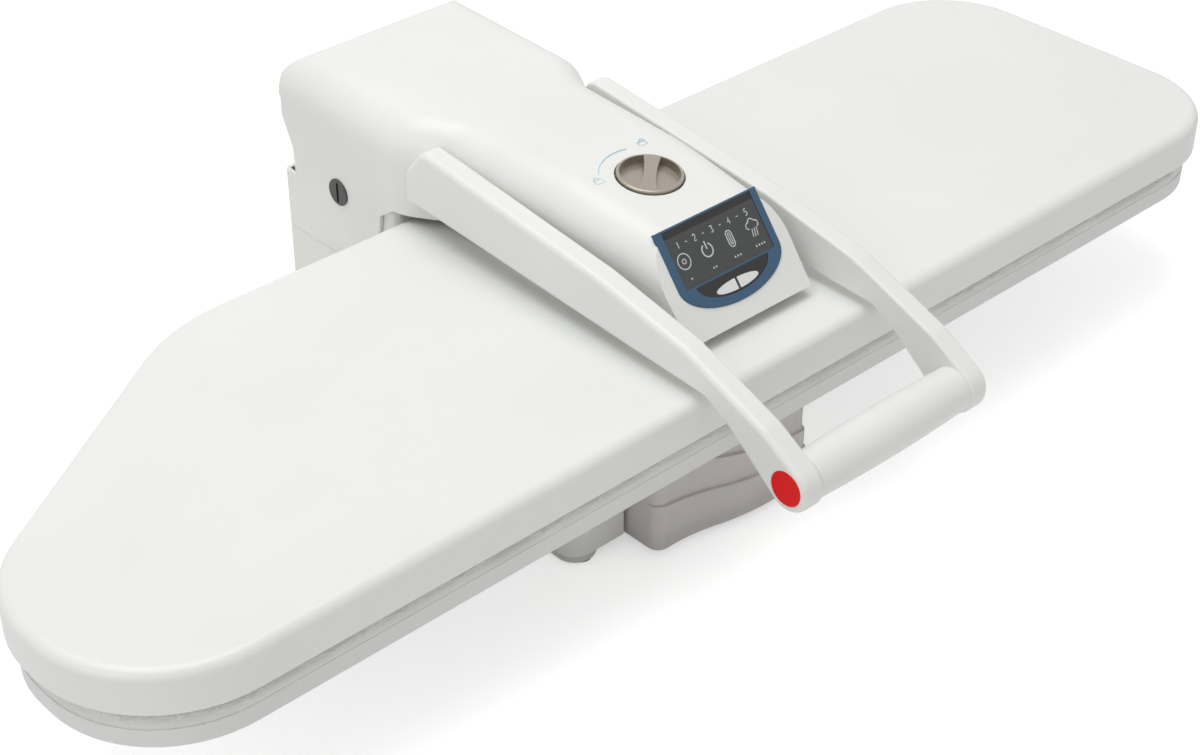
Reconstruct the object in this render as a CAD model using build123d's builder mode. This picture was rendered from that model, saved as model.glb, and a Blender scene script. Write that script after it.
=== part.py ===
"""Electric steam press for ironing: a long padded board on a base, and over it a
hinged head that carries the heated plate, the handle, the control panel and a lock.

Millimetres, +Z up. X runs along the board towards its square end, +Y to the rear.
The origin is on the table under the middle of the press. Heights in the model are
measured from the pressing line, where the two plates meet, and depths from the
board's middle line, so the helper planes below carry both to the origin.
"""

import math
import os

from build123d import *

os.makedirs("parts", exist_ok=True)

# Stance: the pressing line stands this high above the table
press_height = 110.0

# Outline that the heated plate and the board share
plate_length = 909.0
head_shift = 4.5
plate_depth = 269.0
nose_length = 207.5
nose_shoulder_y = -2.7
square_end_radius = 70.0
shoulder_radius = 120.0
nose_radius = 79.0

# Cover over the heated plate, with a low mound under the head
cover_height = 26.0
cover_wall = 2.5
cover_edge_radius = 7.0
mound_rise = 2.2
mound_slope = 68
mound_half_width = 75.0
mound_front_half_width = 66.0
mound_front = -125.0
mound_rear = 108.0

# Heated plate
shoe_thickness = 8.0
shoe_drop = 2.0
shoe_side_gap = 0.5
steam_hole_diameter = 4.0
steam_hole_pitch = 44.0
element_diameter = 8.0
chamber_length = 110.0
chamber_depth = 62.0
chamber_height = 12.0
chamber_y = 31.0
blanket_thickness = 4.0

# Board
board_inset = 4.0
press_gap = 0.3
board_band = 24.7
board_edge_radius = 8.0
cloth = 1.2
pad_thickness = 11.0
pan_sheet = 1.5
hem_width = 10.0
pan_hole_diameter = 5.0
pan_hole_pitch = 42.0
rail_width = 18.0
rail_depth = 8.0
rail_span = 640.0

# Hinge between the column and the head
pivot_y = 194.5
pivot_z = 21.3
shaft_radius = 6.0
running_gap = 0.08
hinge_arc_radius = 42.5
cap_radius = 9.25
cap_proud = 1.2
flange_hub_radius = 17.0

# Column
column_half_width = 75.0
column_front = 140.0
column_rear = 260.0
column_corner = 5.0
column_wall = 3.0
column_top_radius = 70.0
cheek_radius = 56.0
column_shoulder = 25.0
mouth_half_width = 50.0
mouth_rear = 4.0
mouth_sill = 15.0
upright_inner = 66.0
upright_sheet = 3.0
upright_front = 160.0
upright_rear = 230.0

# Head housing
head_half_width = 78.0
neck_half_width = 61.0
middle_half_width = 56.0
brow_half_width = 52.5
lip_half_width = 50.0
head_wall = 2.5
head_rear = 255.5
head_rear_top = 98.0
head_neck_top = 94.0
knob_top = 91.0
brow_top = 86.4
brow_y = -58.5
head_rear_edge = 22.0
head_side_edge = 2.5
head_shoulder = 28.0
nose_shoulder = 26.0
transition_rear = 138.0
transition_front = 98.0
head_floor = 33.0
head_skirt = 31.5
rear_opening = 69.0
panel_tilt = 51.5
lip_radius = 4.0

# Head frame
flange_half_width = 38.0
frame_sheet = 3.0
frame_front = -62.0
web_rear = 112.0
web_top = 61.0
flange_floor = 37.0
spring_plate_z = 44.0
spring_plate_sheet = 3.0

# Posts that carry the heated plate in the head, and the spring on each
post_x = 24.0
post_front_y = -25.0
post_rear_y = 85.0
post_radius = 6.0
post_collar_radius = 9.0
float_travel = 3.0
press_spring_wire = 1.8
press_spring_turns = 4
counter_spring_wire = 2.5
counter_spring_radius = 13.5
counter_spring_turns = 5

# Handle
arm_thickness = 15.0
arm_outer_edge = 4.0
arm_inner_edge = 2.0
arm_end_radius = 15.0
arm_root_top = 86.0
arm_root_floor = 45.0
arm_middle_top = 69.3
arm_middle_floor = 33.6
arm_front_top = 55.5
arm_front_floor = 31.2
grip_y = -203.0
grip_z = 4.0
grip_end_radius = 14.0
grip_middle_radius = 15.4
grip_core_radius = 5.0
button_radius = 11.0
button_thickness = 4.5
button_proud = 0.5
button_travel = 3.0

# Lock knob on the head and the bar that it drives
knob_y = -13.0
knob_radius = 20.5
knob_recess = 1.0
knob_proud = 2.0
knob_depth = 6.0
knob_waist = 9.0
deck_tilt = 5.5
spindle_radius = 4.0
crank_radius = 7.0
lock_turn = 70.0
lock_bar_width = 16.0
lock_bar_sheet = 3.0
lock_bar_z = 61.3
latch_z = 32.0
latch_end = 141.5

# Control panel, measured across and down its slope from the brow
bezel_half_width = 42.0
bezel_straight = 36.0
bezel_curve = 20.8
bezel_proud = 0.8
bezel_thickness = 2.0
window_half_width = 36.5
window_top = 5.8
window_bottom = 37.4
band_half_width = 29.5
band_top = 38.5
band_curve = 13.0
set_button_half_width = 17.0
set_button_v = 46.6
set_button_curve = 3.4
set_button_split = 2.0
set_button_travel = 0.8

# Base
base_half_width = 118.0
base_rear = 185.0
base_front = -74.0
base_right_front = -50.0
base_top = -30.0
base_bottom = -104.0
base_corner = 13.0
base_wall = 3.0
bay_left = -76.5
bay_right = 54.5
bay_ceiling = -34.0
bay_rear = 62.0
base_plate_sheet = 2.0
foot_length = 40.0
foot_width = 26.5
foot_drop = 5.0
foot_screw_pitch = 13.0

# Water tank
tank_gap = 2.5
tank_wall = 2.5
tank_front = -101.5
tank_swell = 9.8
tank_bend_x = -25.0
tank_corner = 8.0
tank_ledge = 2.3
tank_ledges = ((-56.0, -11.0), (-77.0, -5.5))
tank_top_gap = 4.0
tank_chin = 3.3
tank_chin_rear = -48.0
filler_radius = 20.0
filler_y = -10.0
filler_lip = 3.0
filler_spigot = 6.0
dock_x = -40.0
dock_z = -84.0
dock_radius = 9.0
dock_spigot = 4.0
dock_reach = 8.0

# What follows from these sizes
table = -press_height
half_length = plate_length / 2
half_depth = plate_depth / 2
front_reach = arm_end_radius - grip_y
board_y = (front_reach - column_rear) / 2
shoe_bottom = -shoe_drop
shoe_top = shoe_thickness - shoe_drop
board_top = shoe_bottom - press_gap
board_bottom = board_top - board_band
pad_top = board_top - cloth
pan_top = pad_top - pad_thickness
arm_inner = head_half_width - arm_thickness
nose_tip = -half_length - head_shift
outline_points = (
    (half_length - head_shift, -half_depth),
    (half_length - head_shift, half_depth),
    (nose_tip + nose_length, half_depth),
    (nose_tip, nose_shoulder_y),
    (nose_tip, -half_depth),
)
outline_radii = (square_end_radius, square_end_radius, shoulder_radius, nose_radius, nose_radius)
post_places = [(x, y) for x in (-post_x, post_x) for y in (post_front_y, post_rear_y)]


def at(x, y, z):
    """Point given from the head's middle, the board's middle line and the pressing line."""
    return Vector(head_shift + x, board_y + y, press_height + z)


def level(z):
    """Horizontal plane, x and y as seen from above."""
    return Plane(at(0, 0, z))


def wall(x):
    """Upright plane across X; its two directions are y and z."""
    return Plane(origin=at(x, 0, 0), x_dir=(0, 1, 0), z_dir=(1, 0, 0))


def front(y):
    """Upright plane across Y; its two directions are x and z."""
    return Plane(origin=at(0, y, 0), x_dir=(1, 0, 0), z_dir=(0, -1, 0))


def deck(rise):
    """Plane of the head's top around the knob, which slopes to the front."""
    slope = math.radians(deck_tilt)
    normal = Vector(0, -math.sin(slope), math.cos(slope))
    return Plane(origin=at(0, knob_y, knob_top) + normal * rise, x_dir=(1, 0, 0), z_dir=normal)


def panel(rise):
    """Plane of the sloping panel; its y direction runs up the slope from the brow."""
    slope = math.radians(panel_tilt)
    normal = Vector(0, -math.sin(slope), math.cos(slope))
    return Plane(origin=at(0, brow_y, brow_top) + normal * rise, x_dir=(1, 0, 0), z_dir=normal)


def disc(plane, centre, radius, hole=0):
    """Round sketch, or a ring where a hole is given."""
    with BuildSketch(plane) as sketch:
        with Locations(centre):
            Circle(radius)
            if hole:
                Circle(hole, mode=Mode.SUBTRACT)
    return sketch.sketch


def discs(plane, places, radius):
    """Round sketch at each of several places."""
    with BuildSketch(plane) as sketch:
        with Locations(*places):
            Circle(radius)
    return sketch.sketch


def patch(plane, low, high, corner=0):
    """Rectangle from its low corner to its high one."""
    with BuildSketch(plane) as sketch:
        with Locations(((low[0] + high[0]) / 2, (low[1] + high[1]) / 2)):
            if corner:
                RectangleRounded(high[0] - low[0], high[1] - low[1], corner)
            else:
                Rectangle(high[0] - low[0], high[1] - low[1])
    return sketch.sketch


def shape(plane, points, radii=None):
    """Closed polygon, its corners rounded where radii are given."""
    with BuildSketch(plane) as sketch:
        with BuildLine():
            if radii:
                FilletPolyline(*points, radius=radii, close=True)
            else:
                Polyline(*points, close=True)
        make_face()
    return sketch.sketch


def plate_outline(z, inset=0):
    """The outline of the pressing plates, drawn in by an inset."""
    with BuildSketch(level(z)) as sketch:
        with BuildLine():
            FilletPolyline(*outline_points, radius=outline_radii, close=True)
        make_face()
        if inset:
            offset(amount=-inset)
    return sketch.sketch


def save(piece, name):
    """Write one finished piece."""
    piece.part.label = name
    export_step(piece.part, f"parts/{name}.step")


def coil_path(plane, radius, pitch, turns):
    """Quarter turns about the plane's normal, each as two arcs that meet smoothly."""

    def place(step):
        angle = step * math.pi / 2
        return plane.from_local_coords(
            Vector(radius * math.cos(angle), radius * math.sin(angle), pitch * step / 4)
        )

    def heading(step):
        angle = step * math.pi / 2
        tip = Vector(
            -radius * math.sin(angle), radius * math.cos(angle), pitch / (2 * math.pi)
        )
        return (plane.from_local_coords(tip) - plane.origin).normalized()

    with BuildLine() as line:
        for step in range(int(4 * turns)):
            start, end = place(step), place(step + 1)
            go, leave = heading(step), heading(step + 1)
            span = end - start
            a = 2 * (go.dot(leave) - 1)
            b = -2 * span.dot(go + leave)
            c = span.dot(span)
            reach = (-b - math.sqrt(b * b - 4 * a * c)) / (2 * a)
            first, second = start + go * reach, end - leave * reach
            middle = (first + second) / 2
            TangentArc(start, middle, tangent=go)
            TangentArc(middle, end, tangent=second - first)
    return line.line


def coil_gap(radius, pitch, turns, wire):
    """Least gap between the turns, measured on points of the coil."""
    steps = 48
    points = [
        Vector(
            radius * math.cos(2 * math.pi * i / steps),
            radius * math.sin(2 * math.pi * i / steps),
            pitch * i / steps,
        )
        for i in range(int(steps * turns) + 1)
    ]
    gaps = [
        (points[i] - points[j]).length - wire
        for i in range(len(points))
        for j in range(i + steps // 2, len(points))
    ]
    return min(gaps)


# The heated plate and what rides with it

with BuildPart() as platen_cover:
    extrude(plate_outline(0), amount=cover_height)
    fillet(platen_cover.faces().sort_by(Axis.Z)[-1].edges(), cover_edge_radius)
    extrude(
        shape(
            level(cover_height),
            (
                (-mound_half_width, mound_rear),
                (mound_half_width, mound_rear),
                (mound_front_half_width, mound_front),
                (-mound_front_half_width, mound_front),
            ),
            (18, 18, 30, 30),
        ),
        amount=mound_rise,
        taper=mound_slope,
    )
    extrude(
        plate_outline(0, cover_wall), amount=cover_height - cover_wall, mode=Mode.SUBTRACT
    )
    extrude(
        discs(level(0), post_places, post_radius + running_gap),
        amount=cover_height + 2 * mound_rise,
        mode=Mode.SUBTRACT,
    )
    extrude(
        disc(level(0), (0, chamber_y), 5),
        amount=cover_height + 2 * mound_rise,
        mode=Mode.SUBTRACT,
    )
save(platen_cover, "platen_cover")

shoe_inset = cover_wall + shoe_side_gap
hole_columns = int((plate_length - 150) // steam_hole_pitch)
with BuildPart() as heating_plate:
    extrude(plate_outline(shoe_bottom, shoe_inset), amount=shoe_thickness)
    with BuildSketch(level(shoe_bottom)):
        with Locations((0, -half_depth / 3)):
            with GridLocations(steam_hole_pitch, half_depth / 2, hole_columns, 2):
                Circle(steam_hole_diameter / 2)
        with Locations((half_length / 6, half_depth / 2)):
            with GridLocations(steam_hole_pitch, half_depth / 3, hole_columns - 5, 2):
                Circle(steam_hole_diameter / 2)
    extrude(amount=shoe_thickness, mode=Mode.SUBTRACT)
save(heating_plate, "heating_plate")

element_z = shoe_top + element_diameter / 2
element_rear = half_depth * 0.68
with BuildPart() as heating_element:
    with BuildLine():
        FilletPolyline(
            at(90, element_rear, element_z + 9),
            at(90, element_rear, element_z),
            at(half_length - 50, element_rear, element_z),
            at(half_length - 50, -element_rear, element_z),
            at(70 - half_length, -element_rear, element_z),
            at(90 - half_length, -10, element_z),
            at(-90, element_rear, element_z),
            at(-90, element_rear, element_z + 9),
            radius=(4.5, 40, 40, 30, 30, 4.5),
        )
    with BuildSketch(Plane(origin=at(90, element_rear, element_z + 9), z_dir=(0, 0, -1))):
        Circle(element_diameter / 2)
    sweep()
save(heating_element, "heating_element")

chamber_top = shoe_top + chamber_height
chamber_half = chamber_length / 2
with BuildPart() as steam_chamber:
    extrude(
        patch(
            level(shoe_top),
            (-chamber_half, chamber_y - chamber_depth / 2),
            (chamber_half, chamber_y + chamber_depth / 2),
            12,
        ),
        amount=chamber_height,
    )
    fillet(steam_chamber.faces().sort_by(Axis.Z)[-1].edges(), 3)
    extrude(
        patch(
            level(shoe_top),
            (3 - chamber_half, chamber_y - chamber_depth / 2 + 3),
            (chamber_half - 3, chamber_y + chamber_depth / 2 - 3),
            9,
        ),
        amount=chamber_height - 3,
        mode=Mode.SUBTRACT,
    )
    extrude(disc(level(shoe_top), (0, chamber_y), 3), amount=chamber_height, mode=Mode.SUBTRACT)
save(steam_chamber, "steam_chamber")

pipe_radius = 3.0
pipe_top = 40.0
with BuildPart() as steam_pipe:
    extrude(disc(level(chamber_top - 3), (0, chamber_y), pipe_radius), amount=pipe_top - chamber_top + 3)
    extrude(disc(level(chamber_top), (0, chamber_y), 4.8), amount=2)
    extrude(
        disc(level(chamber_top - 3), (0, chamber_y), pipe_radius - 1),
        amount=pipe_top,
        mode=Mode.SUBTRACT,
    )
save(steam_pipe, "steam_pipe")

with BuildPart() as thermostat:
    extrude(disc(level(shoe_top), (-140, 20), 12), amount=9)
    extrude(disc(level(shoe_top + 9), (-140, 20), 8), amount=3)
    extrude(patch(level(shoe_top + 5), (-156, 17), (-124, 23)), amount=2)
save(thermostat, "thermostat")

with BuildPart() as thermal_fuse:
    extrude(patch(level(shoe_top), (120, -6), (164, 6), 5), amount=6)
    extrude(discs(level(shoe_top + 6), ((128, 0), (156, 0)), 3), amount=3)
save(thermal_fuse, "thermal_fuse")

blanket_z = cover_height - cover_wall - blanket_thickness
with BuildPart() as heat_blanket:
    extrude(plate_outline(blanket_z, cover_wall + 10), amount=blanket_thickness)
    extrude(
        discs(level(blanket_z), post_places, post_collar_radius),
        amount=blanket_thickness,
        mode=Mode.SUBTRACT,
    )
    extrude(disc(level(blanket_z), (0, chamber_y), 7), amount=blanket_thickness, mode=Mode.SUBTRACT)
save(heat_blanket, "heat_blanket")

mound_top = cover_height + mound_rise
spring_seat = mound_top + 2.8
nut_bottom = spring_plate_z + spring_plate_sheet + 0.3
with BuildPart() as press_posts:
    extrude(discs(level(shoe_top), post_places, post_radius), amount=nut_bottom + 5 - shoe_top)
    extrude(discs(level(shoe_top), post_places, post_collar_radius), amount=4)
    extrude(discs(level(mound_top), post_places, post_collar_radius), amount=spring_seat - mound_top)
    extrude(discs(level(nut_bottom), post_places, post_collar_radius), amount=4)
save(press_posts, "press_posts")

press_spring_radius = post_radius + press_spring_wire / 2 + 0.7
press_spring_length = spring_plate_z - spring_seat
press_spring_pitch = (press_spring_length - press_spring_wire) / press_spring_turns
print(
    "press spring gap",
    round(
        coil_gap(press_spring_radius, press_spring_pitch, press_spring_turns, press_spring_wire), 2
    ),
)


def press_spring(x, y):
    """One compression spring that stands on a post's collar."""
    base = Plane(at(x, y, spring_seat + press_spring_wire / 2))
    path = coil_path(base, press_spring_radius, press_spring_pitch, press_spring_turns)
    with BuildPart() as spring:
        with BuildSketch(Plane(origin=path @ 0, z_dir=path % 0)):
            Circle(press_spring_wire / 2)
        sweep(path=path)
    return spring.part


with BuildPart() as press_springs:
    for x, y in post_places:
        add(press_spring(x, y))
save(press_springs, "press_springs")

screw_places = [
    (x * half_length, y * half_depth)
    for x, y in ((0.62, 0.45), (0.62, -0.45), (-0.35, -0.45), (-0.62, -0.45), (0.32, 0.45))
]
with BuildPart() as cover_pillars:
    extrude(discs(level(shoe_top), screw_places, 5), amount=blanket_z - shoe_top)
save(cover_pillars, "cover_pillars")


# The head: shell, frame, panel and handle

def smooth(share):
    """Ease from 0 to 1."""
    return share * share * (3 - 2 * share)


def housing_stations():
    """Depth, half width, top and shoulder radius along the head, rear to front."""
    rows = [(head_rear, head_half_width, head_rear_top, head_shoulder)]
    for share in (0, 0.12, 0.25, 0.38, 0.5, 0.62, 0.75, 0.88, 1):
        y = transition_rear + (transition_front - transition_rear) * share
        ease = smooth(share)
        rows.append((
            y,
            head_half_width + (neck_half_width - head_half_width) * ease,
            head_neck_top + (head_rear_top - head_neck_top)
            * (y - transition_front) / (head_rear - transition_front),
            head_shoulder + (nose_shoulder - head_shoulder) * ease,
        ))
    rise = math.tan(math.radians(deck_tilt))
    knob_rear = knob_radius + 5
    share = knob_rear / (transition_front - knob_y)
    rows.append((
        knob_y + knob_rear,
        middle_half_width + (neck_half_width - middle_half_width) * share,
        knob_top + knob_rear * rise,
        nose_shoulder,
    ))
    rows.append((knob_y, middle_half_width, knob_top, nose_shoulder))
    rows.append((brow_y, brow_half_width, brow_top, nose_shoulder))
    slope = (knob_top - brow_top) / (knob_y - brow_y)
    lip_y = brow_y - (brow_top - head_floor) / math.tan(math.radians(panel_tilt)) - 12
    rows.append((lip_y, lip_half_width, brow_top + slope * (lip_y - brow_y), nose_shoulder))
    return rows


def housing_section(y, half, top, shoulder, floor):
    """Upright section of the head, with both top corners rounded."""
    side, flat = top - shoulder, half - shoulder
    with BuildSketch(front(y)) as sketch:
        with BuildLine():
            Line((-half, floor), (half, floor))
            Line((half, floor), (half, side))
            CenterArc((flat, side), shoulder, 0, 90)
            Line((flat, top), (-flat, top))
            CenterArc((-flat, side), shoulder, 90, 90)
            Line((-half, side), (-half, floor))
        make_face()
    return sketch.sketch


def rear_corner(inset):
    """What lies outside the round top corner of the head's rear, seen from the side."""
    radius = head_rear_edge - inset
    crease = 0.06
    slope = (head_rear_top - head_neck_top) / (head_rear - transition_front)
    lean = math.atan(slope)
    y_rear = head_rear - inset
    y_mid = y_rear - radius
    z_mid = head_rear_top - inset + slope * (y_mid - y_rear) - (radius - crease) / math.cos(lean)

    def spot(angle):
        return (y_mid + radius * math.cos(angle), z_mid + radius * math.sin(angle))

    top = math.pi / 2 + lean - math.acos((radius - crease) / radius)
    clear = head_rear_top + 30
    with BuildSketch(wall(-head_half_width - 1)) as sketch:
        with BuildLine():
            ThreePointArc(spot(0), spot(top / 2), spot(top))
            Polyline(spot(top), (spot(top)[0], clear), (y_rear + 30, clear), (y_rear + 30, z_mid), spot(0))
        make_face()
    return sketch.sketch


def housing_form(inset):
    """The head's outer form, or the hollow inside it."""
    floor = -60
    rows = housing_stations()
    rear = rows[0]
    with BuildPart() as block:
        loft(
            [
                housing_section(y, half - inset, top - inset, shoulder - inset, floor)
                for y, half, top, shoulder in (rows[1], (rear[0] - inset, *rear[1:]))
            ],
            ruled=True,
        )
        if not inset:
            fillet(block.faces().sort_by(Axis.Y)[-1].edges().sort_by(Axis.Z)[1:], head_side_edge)
        extrude(rear_corner(inset), amount=2 * head_half_width + 2, mode=Mode.SUBTRACT)
    with BuildPart() as nose:
        loft(
            [
                housing_section(y, half - inset, top - inset, shoulder - inset, floor)
                for y, half, top, shoulder in rows[1:]
            ],
            ruled=True,
        )
        split(bisect_by=panel(-inset), keep=Keep.BOTTOM)
    return block.part + nose.part


def below_head():
    """What lies under the head, seen from the side, down to the hinge arc."""
    with BuildSketch(wall(-head_half_width - 1)) as sketch:
        with BuildLine():
            Polyline(
                (grip_y, -60),
                (grip_y, head_floor),
                (transition_front + 6, head_floor),
                (transition_front + 14, head_skirt),
                (transition_rear, head_skirt),
                (pivot_y - hinge_arc_radius, pivot_z),
            )
            CenterArc((pivot_y, pivot_z), hinge_arc_radius, 180, 180)
            Polyline(
                (pivot_y + hinge_arc_radius, pivot_z),
                (head_rear - head_wall - 0.6, rear_opening - 14),
                (head_rear - head_wall - 0.6, rear_opening),
                (head_rear + 20, rear_opening),
                (head_rear + 20, -60),
                (grip_y, -60),
            )
        make_face()
    return sketch.sketch


def bezel_area(plane, inset):
    """Panel outline: a rectangle over half an ellipse."""
    with BuildSketch(plane) as sketch:
        with Locations((0, -(bezel_straight + inset) / 2)):
            Rectangle(2 * (bezel_half_width - inset), bezel_straight - inset)
        with Locations((0, -bezel_straight)):
            Ellipse(bezel_half_width - inset, bezel_curve - inset)
    return sketch.sketch


def window_area(plane, inset=0):
    """Display window."""
    return patch(
        plane,
        (inset - window_half_width, inset - window_bottom),
        (window_half_width - inset, -window_top - inset),
    )


def band_area(plane):
    """Dark half ellipse under the window, where the two set buttons sit."""
    with BuildSketch(plane) as sketch:
        with Locations((0, -band_top)):
            Ellipse(band_half_width, band_curve)
            with Locations((0, band_curve)):
                Rectangle(2 * band_half_width, 2 * band_curve, mode=Mode.SUBTRACT)
    return sketch.sketch


def set_button_area(plane, side, gap):
    """Left or right half of a flat ellipse."""
    width = set_button_half_width - set_button_split / 2 + gap
    with BuildSketch(plane) as sketch:
        with Locations((0, -set_button_v)):
            Ellipse(set_button_half_width + gap, set_button_curve + gap)
            with Locations((side * (set_button_split / 2 - gap + width / 2), 0)):
                Rectangle(width, 4 * set_button_curve, mode=Mode.INTERSECT)
    return sketch.sketch


outer_head = housing_form(0)
inner_head = housing_form(head_wall)
bezel_seat = bezel_proud - bezel_thickness
boss_radius = 4.5
boss_x = 27.0
boss_front_y = 34.0
boss_rear_y = 103.0
cup_wall = 2.0
knob_seat = -knob_depth
deck_floor = knob_seat - cup_wall

with BuildPart() as head_shell:
    add(outer_head)
    extrude(below_head(), amount=2 * head_half_width + 2, mode=Mode.SUBTRACT)
    add(inner_head, mode=Mode.SUBTRACT)
    extrude(
        discs(
            level(web_top),
            [(x, y) for x in (-boss_x, boss_x) for y in (boss_front_y, boss_rear_y)],
            boss_radius,
        ),
        amount=head_neck_top - head_wall / 2 - web_top,
    )
    extrude(
        disc(deck(deck_floor), (0, 0), knob_radius + knob_recess + cup_wall),
        amount=-deck_floor - head_wall,
    )
    extrude(
        disc(deck(knob_seat), (0, 0), knob_radius + knob_recess),
        amount=knob_depth + 6,
        mode=Mode.SUBTRACT,
    )
    extrude(
        disc(deck(deck_floor), (0, 0), spindle_radius + running_gap),
        amount=knob_depth,
        mode=Mode.SUBTRACT,
    )
    extrude(bezel_area(panel(bezel_seat), 0), amount=10, mode=Mode.SUBTRACT)
    extrude(bezel_area(panel(-10), 2.6), amount=20, mode=Mode.SUBTRACT)
    extrude(
        disc(wall(-head_half_width - 1), (pivot_y, pivot_z), shaft_radius),
        amount=2 * head_half_width + 2,
        mode=Mode.SUBTRACT,
    )
save(head_shell, "head_shell")

with BuildPart() as head_under_cover:
    add(inner_head)
    extrude(
        patch(
            level(head_floor + 0.5), (-head_half_width, -half_depth), (head_half_width, web_rear - 2)
        ),
        amount=2,
        mode=Mode.INTERSECT,
    )
    extrude(
        discs(level(head_floor), post_places, post_collar_radius + 0.5),
        amount=5,
        mode=Mode.SUBTRACT,
    )
    extrude(disc(level(head_floor), (0, chamber_y), 5.5), amount=5, mode=Mode.SUBTRACT)
save(head_under_cover, "head_under_cover")

hub_lean = math.radians(20)
hub_y = pivot_y - flange_hub_radius * math.sin(hub_lean)
hub_rise = flange_hub_radius * math.cos(hub_lean)
flange_points = (
    (frame_front, web_top),
    (web_rear, web_top),
    (pivot_y - 44.5, pivot_z + 30.7),
    (hub_y, pivot_z + hub_rise),
    (hub_y, pivot_z - hub_rise),
    (pivot_y - 34.5, pivot_z - 3.8),
    (web_rear, flange_floor),
    (frame_front, flange_floor),
)
guide_places = ((0, boss_front_y), (0, boss_rear_y - 12))
bar_half = lock_bar_width / 2
bar_top = lock_bar_z + lock_bar_sheet
with BuildPart() as head_frame:
    for side in (-flange_half_width, flange_half_width - frame_sheet):
        extrude(shape(wall(side), flange_points), amount=frame_sheet)
        extrude(disc(wall(side), (pivot_y, pivot_z), flange_hub_radius), amount=frame_sheet)
    extrude(
        patch(
            level(web_top - frame_sheet),
            (-flange_half_width, frame_front),
            (flange_half_width, web_rear),
        ),
        amount=frame_sheet,
    )
    with BuildSketch(level(web_top)):
        with Locations(*guide_places):
            Rectangle(lock_bar_width + 8, 6)
    extrude(amount=bar_top + 2.3 - web_top)
    with BuildSketch(front(web_rear)):
        with Locations((0, (web_top + bar_top + 0.3) / 2)):
            Rectangle(lock_bar_width + 0.4, bar_top + 0.3 - web_top)
    extrude(amount=web_rear - frame_front, mode=Mode.SUBTRACT)
    extrude(
        disc(wall(-flange_half_width - 1), (pivot_y, pivot_z), shaft_radius),
        amount=2 * flange_half_width + 2,
        mode=Mode.SUBTRACT,
    )
save(head_frame, "head_frame")

flange_inner = flange_half_width - frame_sheet
hose_radius = 5.0
with BuildPart() as spring_plate:
    extrude(
        patch(
            level(spring_plate_z),
            (-flange_inner, post_front_y - 18),
            (flange_inner, post_rear_y + 18),
        ),
        amount=spring_plate_sheet,
    )
    extrude(
        discs(level(spring_plate_z), post_places, post_radius + running_gap),
        amount=spring_plate_sheet,
        mode=Mode.SUBTRACT,
    )
    extrude(
        patch(
            level(spring_plate_z),
            (-hose_radius - 1, chamber_y - hose_radius - 1),
            (hose_radius + 1, chamber_y + hose_radius + 9),
            5,
        ),
        amount=spring_plate_sheet,
        mode=Mode.SUBTRACT,
    )
save(spring_plate, "spring_plate")

with BuildPart() as hinge_shafts:
    for side in (-1, 1):
        stub = disc(wall(side * (flange_inner - 3)), (pivot_y, pivot_z), shaft_radius)
        extrude(stub, amount=side * (head_half_width - flange_inner + 3))
        collar = disc(wall(side * (flange_inner - 3)), (pivot_y, pivot_z), shaft_radius + 3)
        extrude(collar, amount=side * 3)
save(hinge_shafts, "hinge_shafts")

with BuildPart() as pivot_caps:
    for side in (-1, 1):
        cap = disc(wall(side * head_half_width), (pivot_y, pivot_z), cap_radius)
        extrude(cap, amount=side * cap_proud)
    fillet(
        pivot_caps.edges().filter_by(GeomType.CIRCLE).filter_by(
            lambda edge: abs(edge.center().X - head_shift) > head_half_width + cap_proud / 2
        ),
        0.4,
    )
    for side in (-1, 1):
        slot = patch(
            wall(side * (head_half_width + cap_proud)),
            (pivot_y - 1, pivot_z - 7),
            (pivot_y + 1, pivot_z + 7),
        )
        extrude(slot, amount=-side * cap_proud * 0.7, mode=Mode.SUBTRACT)
save(pivot_caps, "pivot_caps")

# Handle: two arms that grow from the head's sides, and the grip between their ends

arm_reach = pivot_y - grip_y


def along_arm(share):
    """Depth at a share of the way from the grip to the hinge."""
    return grip_y + share * arm_reach


arm_points = (
    (along_arm(0.825), arm_root_floor),
    (along_arm(0.825), arm_root_top - 20),
    (along_arm(0.782), arm_root_top),
    (along_arm(0.385), arm_middle_top),
    (along_arm(0.204), arm_front_top),
    (along_arm(0.047), grip_z + 28.1),
    (grip_y - arm_end_radius, grip_z + 8.66),
    (grip_y - arm_end_radius, grip_z - 32.2),
    (along_arm(0.113), grip_z + 16),
    (along_arm(0.1635), arm_front_floor),
    (along_arm(0.2893), arm_middle_floor),
)
arm_radii = (2, 16, 10, 60, 90, 28, 15, 15, 20, 12, 30)


def arm_form():
    """One arm on the left, before the seats for the grip and the button."""
    with BuildPart() as arm:
        extrude(shape(wall(-head_half_width), arm_points, arm_radii), amount=arm_thickness)
        outer = arm.faces().sort_by(Axis.X)[0].edges()
        inner = arm.faces().sort_by(Axis.X)[-1].edges()
        root = board_y + 112
        fillet([edge for edge in outer if edge.center().Y < root], arm_outer_edge)
        fillet([edge for edge in inner if edge.center().Y < root], arm_inner_edge)
        add(outer_head, mode=Mode.SUBTRACT)
    return arm.part.solids().sort_by(SortBy.VOLUME)[-1]


left_form = arm_form()
pocket_floor = button_thickness - button_proud + button_travel
switch_sheet = 2.8
stem_radius = 3.0
stem_length = 5.0
core_right = arm_inner + arm_thickness * 0.7

with BuildPart() as left_arm:
    add(left_form)
    extrude(
        disc(wall(-head_half_width - 1), (grip_y, grip_z), button_radius + running_gap),
        amount=pocket_floor + switch_sheet + 1.2,
        mode=Mode.SUBTRACT,
    )
    extrude(
        disc(wall(-head_half_width), (grip_y, grip_z), grip_core_radius),
        amount=arm_thickness,
        mode=Mode.SUBTRACT,
    )
save(left_arm, "left_arm")

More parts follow.
